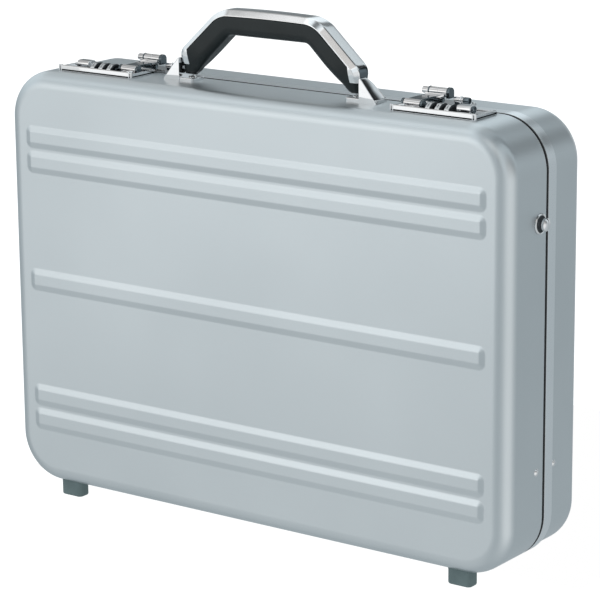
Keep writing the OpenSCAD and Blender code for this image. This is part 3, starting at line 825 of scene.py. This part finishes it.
def handle_stations():
    """Pairs of outer and inner points along the right half of the arch, from the middle down."""
    shoulder_r = 28.0
    cx, cz = 44 - shoulder_r * tan(radians(SLOPE / 2)), HANDLE_TOP - shoulder_r
    inner_c, inner_r = (32.5, 30.5), 8.0
    pairs = []
    for i in range(9):
        t = i / 8
        crown = 0.5 * (1 - t * t)
        pairs.append(((cx * t, HANDLE_TOP - 0.5 + crown), (inner_c[0] * t, inner_c[1] + inner_r)))
    for i in range(1, 15):
        a = radians(90 - SLOPE * i / 14)
        b = radians(90 - 46.0 * i / 14)
        lift = -0.5 * (1 - i / 14)
        pairs.append(((cx + shoulder_r * cos(a), cz + shoulder_r * sin(a) + lift),
                      (inner_c[0] + inner_r * cos(b), inner_c[1] + inner_r * sin(b))))
    start_o, start_i = pairs[-1]
    slope = tan(radians(SLOPE))
    bend = 11.0
    # Outer line: down the slope, a rounded bend, then straight down to the pivot
    bend_z = start_o[1] - (ARM_X - start_o[0]) * slope
    back = bend * tan(radians((90 - SLOPE) / 2))
    end_o = (ARM_X - back * cos(radians(SLOPE)), bend_z + back * sin(radians(SLOPE)))
    end_i = (60.5, 14.9)
    for i in range(1, 13):
        t = i / 12
        pairs.append((tuple(a + (b - a) * t for a, b in zip(start_o, end_o)),
                      tuple(a + (b - a) * t for a, b in zip(start_i, end_i))))
    for i in range(1, 9):
        a = radians(90 - SLOPE - (90 - SLOPE) * i / 8)
        t = i / 8
        o = (ARM_X - bend + bend * cos(a), bend_z - back + bend * sin(a))
        pairs.append((o, (end_i[0] + (66.0 - end_i[0]) * t, end_i[1] - (end_i[1] - 10.0) * t)))
    last_o, last_i = pairs[-1]
    for i in range(1, 15):
        t = i / 14
        fast = 1 - (1 - t) ** 1.6
        inner_x = last_i[0] + (71.0 - last_i[0]) * min(1, t * 1.4)
        pairs.append(((ARM_X, last_o[1] + (4.65 - last_o[1]) * fast),
                      (inner_x, last_i[1] + (4.65 - last_i[1]) * fast)))
    return pairs


RIGHT_HALF = handle_stations()


def whole_arch(half):
    """Both halves of the arch, from pairs that start at the middle."""
    return [((-o[0], o[1]), (-i[0], i[1])) for o, i in reversed(half[1:])] + half


def handle_point(outer, inner, depth, q):
    """Point at a depth in mm below the outer line, q of the half width to the back."""
    o, i = Vector(outer), Vector(inner)
    p = o + (i - o).normalized() * depth
    return (p.x, PIVOT_Y + q * half_width(p.y), TOP_Z + p.y)


def handle_loft(bm, pairs, section):
    """Lofts a closed section [(depth, q)] along the arch; section(outer, inner) gives it."""
    rows = [[handle_point(o, i, d, q) for d, q in section(o, i)] for o, i in pairs]
    part = bmesh.new()
    add_geometry(part, [p for row in rows for p in row], ring_faces(len(rows), len(rows[0])))
    bmesh.ops.remove_doubles(part, verts=part.verts, dist=0.0005)
    bmesh.ops.dissolve_degenerate(part, dist=0.0005, edges=part.edges)
    bmesh.ops.recalc_face_normals(part, faces=part.faces)
    join(bm, part)


TRIM_DEPTH = 4.6
TRIM_END_DEPTH = 8.6
# Heights above the shells: the foot of the inlay, and the top of the handle's straight slope
TRIM_FOOT = 13.2
SLOPE_TOP_Z = 50.0
# Faces of the inlay that look this far along X are its ends, made dark chrome as painted shade
END_FACING = 0.86


def grip_section(outer, inner):
    """Finger side fully rounded; the outer side carries the chrome inlay."""
    total = (Vector(inner) - Vector(outer)).length
    r = min(6.5, total * 0.42)
    out = []
    for i in range(9):
        a = radians(90 * i / 8)
        out.append((total - r + r * sin(a), 1 - (r / (GRIP_W / 2)) * 0.8 * (1 - cos(a))))
    back = [(d, -q) for d, q in reversed(out)]
    low = [1.6, 3.0, 4.2, 4.9, 5.6, 6.4]
    if total < 6.6 + r:
        low = [1.2 + (total - r - 1.5) * k / 6 for k in range(6)]
    shoulder = list(zip(low, (0.62, 0.76, 0.90, 0.95, 0.985, 1.0)))
    return shoulder + out + back + [(d, -q) for d, q in reversed(shoulder)]


def trim_section(outer, inner):
    """Channel over the outer side: flat outer face, broad bevels and a short upright edge."""
    depth = (Vector(inner) - Vector(outer)).length
    ridge = 0.64
    cheek = [(depth, 0.975), (depth - 0.25, 1.012), (4.1, 1.012), (3.85, 1.002), (3.6, 0.985),
             (0.55, ridge + 0.035), (0.2, ridge), (0.0, ridge - 0.06), (-0.1, 0.3)]
    inside = [(1.0, -ridge + 0.02), (3.4, -0.86), (depth - 0.1, -0.93)]
    return (cheek + [(d, -q) for d, q in reversed(cheek)] + inside
            + [(d, -q) for d, q in reversed(inside)])


bm = bmesh.new()
handle_loft(bm, whole_arch(RIGHT_HALF), grip_section)
make("grip_body", bm, "handle", GRIP, ["handle_grip"], smooth=40)


def trim_half():
    """Outer and inner edge of the chrome along the right half of the arch, from the middle down."""
    pairs = []
    for o, i in RIGHT_HALF:
        line = (Vector(i) - Vector(o)).normalized()
        pairs.append((o, tuple(Vector(o) + line * TRIM_DEPTH)))
    through = Vector((sin(radians(SLOPE)), cos(radians(SLOPE)))) * TRIM_DEPTH
    edge_x = ARM_X - TRIM_END_DEPTH
    kept = [p for p in pairs if p[0][1] > SLOPE_TOP_Z]
    o = Vector(next(p for p in pairs if p[0][1] < SLOPE_TOP_Z)[0])
    inner = o - through
    corner = Vector((edge_x, inner.y - (edge_x - inner.x) * tan(radians(SLOPE))))
    turn = corner + through
    steps = 8
    for k in range(1, steps + 1):
        at = o + (turn - o) * k / steps
        kept.append((tuple(at), tuple(at - through)))
    # Round the bend and go straight down, while the inner edge drops upright from the corner
    outer = [Vector(p[0]) for p in pairs if p[0][1] < turn.y - 0.5 and p[0][1] > 20.5]
    outer += [Vector((ARM_X, z)) for z in (19.0, 17.0, 15.5, 14.3, TRIM_FOOT)]
    run = [0.0]
    for a, b in zip([turn] + outer, outer):
        run.append(run[-1] + (b - a).length)
    for at, gone in zip(outer, run[1:]):
        kept.append((tuple(at), (edge_x, corner.y + (TRIM_FOOT - corner.y) * gone / run[-1])))
    return kept


bm = bmesh.new()
handle_loft(bm, whole_arch(trim_half()), trim_section)
bm.normal_update()
# Ends of the inlay take the dark chrome: painted shade
for f in bm.faces:
    if abs(f.normal.x) > END_FACING and f.calc_center_median().z < TOP_Z + FULL_Z:
        f.material_index = 1
make("grip_inlay", bm, "handle", [TRIM, PAINTED_SHADE_CHROME], ["handle_trim"],
     smooth=30)


# ---------------------------------------------------------------- handle brackets

def bracket_mesh():
    bm = bmesh.new()
    foot = rounded_outline(69.5, -21.4, 97.4, -6.6, 2.0, 6)
    prism(bm, foot, TOP_Z - 0.8, TOP_Z + 2.6, upright, 0.6, 4)
    # Cheek: an upright face towards the grip and a sloped outer face that rounds over to the back
    rows = 18
    front_y, back_y = -22.0, -5.2
    grid = []
    height, x_in, x_out, x_tip = 17.4, 82.0, 97.5, 83.6
    for i in range(rows + 1):
        t = i / rows
        z = height * t
        depth_t = sqrt(max(0.0, 1 - (z / (height + 1.8)) ** 2.2))
        y_end = front_y + (back_y - front_y) * depth_t
        x_end = x_out + (x_tip - x_out) * t
        r = min(0.7, (x_end - x_in) * 0.4)
        ring = [(x_in, front_y + 0.4), (x_in + 0.12, front_y + 0.12), (x_in + 0.4, front_y),
                (x_end - r, front_y), (x_end - r * 0.3, front_y + r * 0.3), (x_end, front_y + r)]
        soft = min(4.0, (y_end - front_y) * 0.4, (x_end - x_in) * 0.5)
        ring += [(x_end, y_end - soft), (x_end - soft * 0.3, y_end - soft * 0.3),
                 (x_end - soft, y_end), (x_in, y_end)]
        grid.append([(x, y, TOP_Z + z) for x, y in ring])
    part = bmesh.new()
    add_geometry(part, [p for ring in grid for p in ring], ring_faces(len(grid), len(ring)))
    bmesh.ops.recalc_face_normals(part, faces=part.faces)
    top_verts = set(list(part.verts)[-len(ring):])
    top_edges = [e for e in part.edges if top_verts.issuperset(e.verts)]
    bmesh.ops.bevel(part, geom=top_edges, offset=0.5, segments=3, profile=0.5, affect="EDGES",
                    clamp_overlap=True)
    join(bm, part)
    # Screw head on the inner foot
    lathe(bm, [(0, 2.9), (0.25, 2.9), (0.7, 2.5), (0.95, 1.6), (0.7, 1.2), (0.7, 0)],
          (75.5, PIVOT_Y, TOP_Z + 2.6), "z", 24)
    return bm


for side, s in SIDES.items():
    make(f"handle_bracket_{side}", bracket_mesh(), "base", CHROME,
         [f"bracket_{side}"], mirror=s < 0, smooth=35)


# ---------------------------------------------------------------- locks

PLATE_IN, PLATE_OUT = 118.5, 189.0
PLATE_FRONT, PLATE_BACK = -35.0, -5.5
PLATE_T = 1.2
PLATE_RIM = 4.5
HASP_IN, HASP_OUT = 122.6, 136.4
# Openings of the lock tray: (low x, high x, low y, high y)
DIAL_WINDOW = (139.3, 167.7, -30.0, -14.0)
SLIDE_SLOT = (170.2, 181.8, -23.4, -18.6)


def plate_floor(bm):
    """Floor of the lock tray, as strips around its two openings."""
    wx0, wx1, wy0, wy1 = DIAL_WINDOW
    sx0, sx1, sy0, sy1 = SLIDE_SLOT
    z0, z1 = TOP_Z, TOP_Z + PLATE_T
    for x0, x1, y0, y1 in (
            (PLATE_IN, wx0, PLATE_FRONT, PLATE_BACK), (wx0, wx1, PLATE_FRONT, wy0),
            (wx0, wx1, wy1, PLATE_BACK), (wx1, sx0, PLATE_FRONT, PLATE_BACK),
            (sx0, sx1, PLATE_FRONT, sy0), (sx0, sx1, sy1, PLATE_BACK),
            (sx1, PLATE_OUT, PLATE_FRONT, PLATE_BACK)):
        box(bm, (x0, y0, z0), (x1, y1, z1), 0.0)
    bmesh.ops.remove_doubles(bm, verts=bm.verts, dist=0.001)


def lock_plate_mesh():
    bm = bmesh.new()
    plate_floor(bm)
    rim = PLATE_RIM
    # Raised front rim with a rolled top, and lower side rims that fall towards the back
    section = [(0, 0), (1.4, 0), (1.4, rim - 0.6), (1.1, rim - 0.15), (0.7, rim),
               (0.3, rim - 0.15), (0, rim - 0.6)]
    front = [(PLATE_FRONT + u, v) for u, v in section]
    prism(bm, front, PLATE_IN, PLATE_OUT, along_x, 0.2, 2)
    for x0, x1 in ((PLATE_IN, PLATE_IN + 1.4), (PLATE_OUT - 1.4, PLATE_OUT)):
        outline = [(PLATE_FRONT, 0), (PLATE_BACK, 0), (PLATE_BACK, 2.2), (PLATE_BACK - 1.0, 3.0),
                   (PLATE_FRONT + 3, 3.3), (PLATE_FRONT, rim - 0.3)]
        prism(bm, outline, x0, x1, along_x, 0.3, 3)
    box(bm, (PLATE_IN, PLATE_BACK - 1.2, TOP_Z), (PLATE_OUT, PLATE_BACK, TOP_Z + 2.0), 0.35)
    # Twin corner posts
    for x in (PLATE_IN + 0.9, PLATE_OUT - 0.9):
        for dx in (-0.95, 0.95):
            lathe(bm, [(0, 0), (0, 0.95), (rim - 0.5, 0.95), (rim - 0.1, 0.75), (rim + 0.15, 0.4),
                       (rim + 0.2, 0)], (x + dx, PLATE_FRONT + 0.8, TOP_Z), "z", 20)
    # Ears that carry the hasp pin, in dark chrome as painted shade
    for x0 in (HASP_IN - 2.2, HASP_OUT + 0.3):
        outline = [(LOCK_Y - 3, PLATE_T * 0.5)] + [
            (LOCK_Y + 3 * cos(radians(a)), 4.5 + 3 * sin(radians(a))) for a in range(180, -1, -15)
        ] + [(LOCK_Y + 3, PLATE_T * 0.5)]
        prism(bm, outline, x0, x0 + 1.9, along_x, 0.35, 3, 1)
    # Small block inside the front inner corner, which carries a screw
    box(bm, (HASP_IN - 1, -31, TOP_Z), (HASP_IN + 12, -27, TOP_Z + 3.4), 0.5)
    # Lips around the dial window, in dark chrome as painted shade
    x0, x1, front_y, back_y = DIAL_WINDOW
    for y in (front_y - 1, back_y):
        box(bm, (x0, y, TOP_Z + PLATE_T * 0.5), (x1, y + 1, TOP_Z + PLATE_T + 0.7), 0.25, 3, 1)
    # Cheek between the dials and the hasp root, in dark chrome as painted shade
    box(bm, (HASP_OUT + 2.3, -27.5, TOP_Z), (HASP_OUT + 3.3, -15.5, TOP_Z + 4.6), 0.35, 3, 1)
    return bm


def screw_profile(r, rise):
    return [(0, r), (rise * 0.35, r), (rise * 0.75, r * 0.88), (rise, r * 0.62), (rise, r * 0.3),
            (rise * 0.45, r * 0.26), (rise * 0.45, 0)]


def lock_screw_mesh(sign):
    bm = bmesh.new()
    for x, y, z in ((185.0, -10.5, PLATE_T), (124.0, -29.0, 3.4)):
        lathe(bm, screw_profile(2.7, 1.1), (sign * x, y, TOP_Z + z), "z", 28)
    return bm


def digit_mesh(number):
    curve = bpy.data.curves.new("digit", "FONT")
    curve.body = str(number)
    curve.size = 4.3
    curve.align_x = "CENTER"
    curve.align_y = "CENTER"
    curve.extrude = 0.05
    curve.resolution_u = 4
    obj = placed("digit", curve)
    mesh = bpy.data.meshes.new_from_object(obj.evaluated_get(bpy.context.evaluated_depsgraph_get()))
    bpy.data.objects.remove(obj)
    bpy.data.curves.remove(curve)
    return mesh


DIGITS = [digit_mesh(n) for n in range(10)]


def wheel(bm, x, rows, count, phase, material):
    """Solid around the dial axle; rows are (offset along X, radii that repeat around it)."""
    angles = [2 * pi * (i + phase) / count for i in range(count)]
    rings = []
    for t, radii in rows:
        around = [(radii[i % len(radii)], a) for i, a in enumerate(angles)]
        rings.append([(x + t, LOCK_Y + r * sin(a), DIAL_Z + r * cos(a)) for r, a in around])
    loft(bm, rings, material=material)


def dial_mesh(x):
    """Number wheel: ten flats with painted digits and a knurled band on one side."""
    bm = bmesh.new()
    half, flats, teeth = 3.0, 10, 40
    r_flat = DIAL_R - 0.45
    corner = 1 / cos(pi / flats)
    flat_rows = ((-half, DIAL_R - 2.0), (-half + 0.5, r_flat - 0.3), (-half + 0.9, r_flat),
                 (half - 1.6, r_flat), (half - 1.4, r_flat - 0.5))
    wheel(bm, x, [(t, [r * corner]) for t, r in flat_rows], flats, 0.5, 0)
    # The knurled band is near-black: painted shade of the gap beside the next wheel
    valley, tooth = [DIAL_R - 0.7, DIAL_R - 0.9], [DIAL_R, DIAL_R - 0.55]
    wheel(bm, x, ((half - 1.4, valley), (half - 1.1, tooth), (half - 0.4, tooth), (half, valley)),
          2 * teeth, 0, 2)
    for number, mesh in enumerate(DIGITS):
        part = bmesh.new()
        part.from_mesh(mesh)
        turn = (Matrix.Translation((x - 0.6, LOCK_Y, DIAL_Z))
                @ Matrix.Rotation(2 * pi * number / flats, 4, "X")
                @ Matrix.Translation((0, 0, r_flat)))
        bmesh.ops.transform(part, matrix=turn, verts=part.verts)
        join(bm, part, 1)
    return bm


def slide_mesh():
    """Release button: a block with a rolled front and a bored outer end."""
    bm = bmesh.new()
    x0, x1, z0, z1 = 167.8, 180.3, TOP_Z + 1.5, TOP_Z + 7.4
    y0, y1 = -25.5, -16.0
    outline = [(y0 + 0.9, z0), (y1 - 0.9, z0), (y1, z0 + 0.9), (y1, z1 - 2.2), (y1 - 0.7, z1 - 0.8),
               (y1 - 2.2, z1), (y0 + 2.0, z1), (y0 + 0.6, z1 - 0.7), (y0, z1 - 2.0), (y0, z0 + 0.9)]
    prism(bm, outline, x0, x1 - 1.1, lambda u, v, h: (h, u, v), 0.45, 3)
    # Outer end: a collar around a bore, all in dark chrome as painted shade
    cy, cz = (y0 + y1) / 2, (z0 + z1) / 2
    lathe(bm, [(0, 0), (0, 2.75), (1.5, 2.75), (2.0, 2.5), (2.1, 2.1), (1.9, 1.75), (0.3, 1.7),
               (0.3, 0)], (x1 - 2.1, cy, cz), "x", 32, 1)
    box(bm, (x0 + 2.8, -22.9, TOP_Z - 6), (x0 + 7.4, -19.1, TOP_Z + 2), 0.3)
    return bm


def hasp_mesh(sign):
    """Flap over the seam, hung on a pin, with a rolled finger barrel; the barrel isn't mirrored."""
    bm = bmesh.new()
    # Root tube around the pin and the arm, mirrored by sign; the arm is dark chrome as painted
    # shade
    length = HASP_OUT - HASP_IN
    x_root = HASP_IN if sign > 0 else -HASP_OUT
    lathe(bm, [(0.0, 1.3), (0.0, 2.7), (0.3, 3.0), (length - 0.3, 3.0), (length, 2.7),
               (length, 1.3)], (x_root, LOCK_Y, HASP_PIVOT_Z), "x", 36)
    arm_in, arm_out = HASP_IN + 1, HASP_IN + 12.8
    lo, hi = sorted((sign * arm_in, sign * arm_out))
    top = 7.2
    arm = [(LOCK_Y, 5.2), (-2.0, 5.2), (7.0, 5.2), (7.0, 6.6), (-2.0, 6.9), (-8.0, top),
           (LOCK_Y, top)]
    prism(bm, arm, lo, hi, along_x, 0.5, 3, 1)
    x = sign * HASP_X
    # Tongue, hook and barrel; the hook and a collar on the barrel are dark chrome as painted shade
    tongue = [(x - 9, -2.0), (x + 8, -2.0), (x + 8, 6.4), (x + 7, 7.4), (x - 8, 7.4), (x - 9, 6.4)]
    prism(bm, tongue, TOP_Z + 5.2, TOP_Z + 6.5, upright, 0.4, 3)
    box(bm, (x - 6, 6.1, TOP_Z + 1.7), (x + 6, 7.4, TOP_Z + 6.4), 0.35, 3, 1)
    cy, cz = 6.6, TOP_Z + 9
    for profile, material in (
            ([(-12.2, 0), (-12.2, 1.9), (-11.9, 2.35), (-11.4, 2.5), (-6.6, 2.5)], 0),
            ([(-6.7, 2.4), (-6.5, 3.1), (-6.2, 3.3), (-5.6, 3.3), (-5.3, 3.1), (-5.2, 2.9)], 1),
            ([(-5.4, 2.8), (-5.3, 3.0), (1.6, 3.0), (1.75, 2.85), (1.9, 3.0), (9.6, 3.0)], 0)):
        lathe(bm, profile, (x, cy, cz), "x", 36, material)
    # D-shaped end cap: round above, square below, with a flat face
    cap = [(3.6 * cos(radians(a)), 3.6 * sin(radians(a))) for a in range(0, 181, 12)]
    cap += [(-3.6, -4.2), (3.6, -4.2)]
    # The cap is dark chrome: painted shade on its face
    prism(bm, cap, 9.4, 12.3, lambda u, v, h: (x + h, cy + u, cz + v), 0.45, 3, 1)
    saddle = [(x - 9, 3.4), (x + 8, 3.4), (x + 8, 7.4), (x - 9, 7.4)]
    prism(bm, saddle, TOP_Z + 5.4, TOP_Z + 8.2, upright, 0.7, 3)
    return bm


def catch_mesh(sign):
    """Keeper on the lid: base plate, keeper lip and a small barrel; not mirrored."""
    bm = bmesh.new()
    x = sign * HASP_X
    plate = rounded_outline(x - 14, 3.1, x + 27, 17.5, 1.6, 5)
    prism(bm, plate, TOP_Z, TOP_Z + 1.2, upright, 0.35, 3)
    # The keeper lip, the block under the barrel and the barrel's end are dark chrome: painted shade
    lip = [(3.4, 0.6), (5.6, 0.6), (5.6, 3.4), (5.0, 4.2), (4.4, 4.4), (3.8, 4.2), (3.4, 3.8)]
    prism(bm, lip, x - 6.5, x + 6.5, along_x, 0.2, 2, 1)
    box(bm, (x + 14.5, 6.6, TOP_Z + 0.6), (x + 25.5, 9.4, TOP_Z + 3.8), 0.4, 3, 1)
    lathe(bm, [(14, 0), (14, 1.9), (14.3, 2.2), (18.9, 2.2), (19.0, 2.7), (19.3, 2.85),
               (20.2, 2.85), (20.5, 2.7), (20.6, 2.2), (22.1, 2.2), (22.1, 0)],
          (x, 8, TOP_Z + 4), "x", 32)
    lathe(bm, [(21.8, 0), (21.8, 2.2), (22.0, 2.4), (22.3, 2.5), (26.4, 2.5), (26.8, 2.3),
               (27.0, 1.9), (26.7, 1.5), (25.8, 1.4), (25.8, 0)], (x, 8, TOP_Z + 4), "x", 32, 1)
    return bm


def catch_rivet_mesh(sign):
    bm = bmesh.new()
    for dx in (-11, 24):
        lathe(bm, [(0, 2.6)] + dome(2.6, 1.0, 0.0, 6), (sign * HASP_X + dx, 14, TOP_Z + 1.2),
              "z", 24)
    return bm


for side, s in SIDES.items():
    make(f"lock_tray_{side}", lock_plate_mesh(), "base", CHROME_AND_PAINTED_SHADE,
         [f"lock_plate_{side}"], mirror=s < 0)
    make(f"lock_tray_screws_{side}", lock_screw_mesh(s), "base", CHROME)
    for k in range(3):
        dial = f"dial_{side}_{k + 1}"
        make(f"number_wheel_{side}_{k + 1}", dial_mesh(s * DIAL_X[k]), dial,
             [DIAL, PAINT, SHADE_BLACK_METAL], [dial], smooth=25, weighted=False)
    make(f"release_slide_{side}", slide_mesh(), f"slide_{side}", CHROME_AND_PAINTED_SHADE,
         [f"slide_{side}"], mirror=s < 0)
    make(f"hasp_flap_{side}", hasp_mesh(s), f"hasp_{side}", CHROME_AND_PAINTED_SHADE,
         [f"hasp_{side}"])
    make(f"lid_catch_{side}", catch_mesh(s), "lid", CHROME_AND_PAINTED_SHADE,
         [f"catch_{side}"])
    make(f"lid_catch_rivets_{side}", catch_rivet_mesh(s), "lid", CHROME)


# ---------------------------------------------------------------- CAD nodes that stay

SLOT_OF = {p["node"]: p["material_slot"] for p in frame["record"]["subparts"]}
for name, obj in frame["nodes"].items():
    material = NODE_MATERIALS[SLOT_OF[name]]
    obj.data.materials.clear()
    obj.data.materials.append(material)
    if not obj.hide_render:
        for p in obj.data.polygons:
            p.use_smooth = True
        obj.data.set_sharp_from_angle(angle=SHARP)


# ---------------------------------------------------------------- floor, light and camera

def floor_piece():
    """Pale floor without the strip that the lid swings through, as the case opens lying down."""
    far = 12.0
    points = [(x, y, 0) for y in (-far, -0.001, 0.40, far) for x in (-far, -0.26, 0.26, far)]
    # First corners of the squares of this grid, but for the one in the middle
    corners = (0, 1, 2, 4, 6, 8, 9, 10)
    bm = bmesh.new()
    add_geometry(bm, points, [(a, a + 1, a + 5, a + 4) for a in corners])
    mesh = bpy.data.meshes.new("floor")
    bm.to_mesh(mesh)
    bm.free()
    obj = placed("floor", mesh)
    n = Nodes("pale_floor")
    n.set(Base_Color=(0.32, 0.32, 0.32, 1), Roughness=1.0, Specular_IOR_Level=0.0,
          Emission_Color=(1, 1, 1, 1), Emission_Strength=0.98)
    mesh.materials.append(n.material)
    # The studio behind the camera lights the metal; the bright floor only backs the picture
    obj.visible_glossy = False
    obj.visible_diffuse = False
    obj.visible_shadow = False


floor_piece()

world = bpy.data.worlds.new("studio")
bpy.context.scene.world = world
world.use_nodes = True
sky = Tree(world.node_tree)
sky.tree.nodes.clear()
direction = sky.add("ShaderNodeTexCoord").outputs["Generated"]


def lobe(towards, narrow, wide, strength):
    """Soft light from one direction; narrow and wide are half angles in degrees."""
    dot = sky.add("ShaderNodeVectorMath", operation="DOT_PRODUCT")
    dot.inputs[1].default_value = Vector(towards).normalized()
    sky.link(direction, dot.inputs[0])
    return sky.ramp(dot.outputs["Value"], 0.0, strength, cos(radians(wide)), cos(radians(narrow)),
                    "SMOOTHSTEP")


FRONT_LEFT_BOX = (-0.579, -0.803, 0.139)
RIGHT_BOX = (0.957, -0.239, -0.16)
FRONT_RIGHT_BOX = (0.288, -0.671, 0.68)
OVERHEAD_BOX = (-0.567, 0.22, 0.79)
REAR_TOP_BOX = (-0.567, 0.50, 0.65)
EDGE_BOX = (-0.567, -0.79, 0.22)
BACK_BOX = (0.0, 0.99, 0.10)
LOW_BOX = (-0.45, -0.55, -0.70)
TABLE = (0.0, 0.0, -1.0)
DARK_FLAG = (0.42, 0.78, 0.44)
STUDIO = (
    # towards, narrow, wide, strength
    (FRONT_LEFT_BOX, 0, 33, 0.40),
    (FRONT_LEFT_BOX, 10, 62, 0.12),
    (FRONT_RIGHT_BOX, 6, 22, 0.60),
    (RIGHT_BOX, 8, 42, 0.38),
    (RIGHT_BOX, 20, 78, 0.17),
    (OVERHEAD_BOX, 10, 50, 0.24),
    (REAR_TOP_BOX, 3, 24, 0.10),
    (EDGE_BOX, 2, 20, 0.14),
    (BACK_BOX, 0, 25, 0.30),
    (LOW_BOX, 6, 36, 0.15),
    (TABLE, 30, 72, 0.06),
)
AMBIENT = 0.50
# Brightness of the panels above the horizon against the X part of the direction
PANELS = ((-1.0, 0.85), (-0.74, 0.85), (-0.66, 0.20), (-0.54, 0.20), (-0.46, 0.98), (-0.22, 0.98),
          (-0.15, 0.2), (0.00, 0.2), (0.08, 0.72), (0.22, 0.78), (0.27, 0.08), (0.45, 0.08),
          (0.52, 0.80), (0.72, 0.80), (0.84, 0.2), (1.0, 0.2))


def ambient():
    """Even light up to the horizon, and bright panels with dark gaps above it, for the chrome."""
    split = sky.add("ShaderNodeSeparateXYZ")
    sky.link(direction, split.inputs[0])
    panels = sky.add("ShaderNodeValToRGB")
    stops = panels.color_ramp.elements
    while len(stops) < len(PANELS):
        stops.new(0.5)
    for stop, (x, value) in zip(stops, PANELS):
        stop.position = (x + 1) / 2
        stop.color = (value, value, value, 1)
    sky.link(sky.ramp(split.outputs["X"], 0.0, 1.0, -1.0, 1.0), panels.inputs["Fac"])
    mix = sky.add("ShaderNodeMix", A=AMBIENT)
    height = sky.ramp(split.outputs["Z"], 0.0, 1.0, -0.06, 0.20, "SMOOTHSTEP")
    sky.link(height, mix.inputs["Factor"])
    sky.link(panels.outputs["Color"], mix.inputs["B"])
    light_left = sky.math("SUBTRACT", 1.0, lobe(DARK_FLAG, 5, 12, 0.85))
    return sky.math("MULTIPLY", mix.outputs["Result"], light_left)


def background(colour, strength):
    node = sky.add("ShaderNodeBackground", Color=(*colour, 1))
    sky.put(strength, node.inputs["Strength"])
    return node.outputs[0]


boxes = lobe(*STUDIO[0])
for item in STUDIO[1:]:
    boxes = sky.math("ADD", boxes, lobe(*item))
studio = sky.add("ShaderNodeAddShader")
sky.link(background((0.90, 1.0, 1.05), ambient()), studio.inputs[0])
sky.link(background((1.05, 1.0, 0.96), boxes), studio.inputs[1])
choose = sky.add("ShaderNodeMixShader")
sky.link(sky.add("ShaderNodeLightPath").outputs["Is Camera Ray"], choose.inputs[0])
sky.link(studio.outputs[0], choose.inputs[1])
sky.link(background((1.0, 1.0, 1.0), 1.0), choose.inputs[2])
sky.link(choose.outputs[0], sky.add("ShaderNodeOutputWorld").inputs["Surface"])


def soft_box(name, place, target, size, watts):
    light_data = bpy.data.lights.new(name, "AREA")
    light_data.shape = "RECTANGLE"
    light_data.size, light_data.size_y = size
    light_data.energy = watts
    obj = placed(name, light_data)
    obj.location = place
    obj.rotation_euler = (Vector(target) - Vector(place)).to_track_quat("-Z", "Y").to_euler()
    obj.visible_camera = False


soft_box("front_left_box", (-0.60, -1.11, 0.30), (0.0, -0.05, 0.22), (0.75, 0.90), 0.68)
soft_box("overhead_box", (-1.0, -0.9, 1.9), (0, 0, 0.2), (1.1, 0.8), 1.5)

camera_data = bpy.data.cameras.new("camera")
camera_data.sensor_width = 36.0
camera_data.lens = 168.85
camera_data.clip_start = 0.05
camera_data.clip_end = 60.0
camera = placed("camera", camera_data)
right = Vector((0.8117, 0.5835, -0.0081)).normalized()
back = -Vector((-0.5667, 0.7850, -0.2500)).normalized()
right = (right - back * right.dot(back)).normalized()
up = back.cross(right)
camera.matrix_world = Matrix.Translation((1.2169, -1.6680, 0.7115)) @ Matrix(
    (right, up, back)).transposed().to_4x4()
bpy.context.scene.camera = camera
bpy.context.scene.view_settings.view_transform = "Standard"
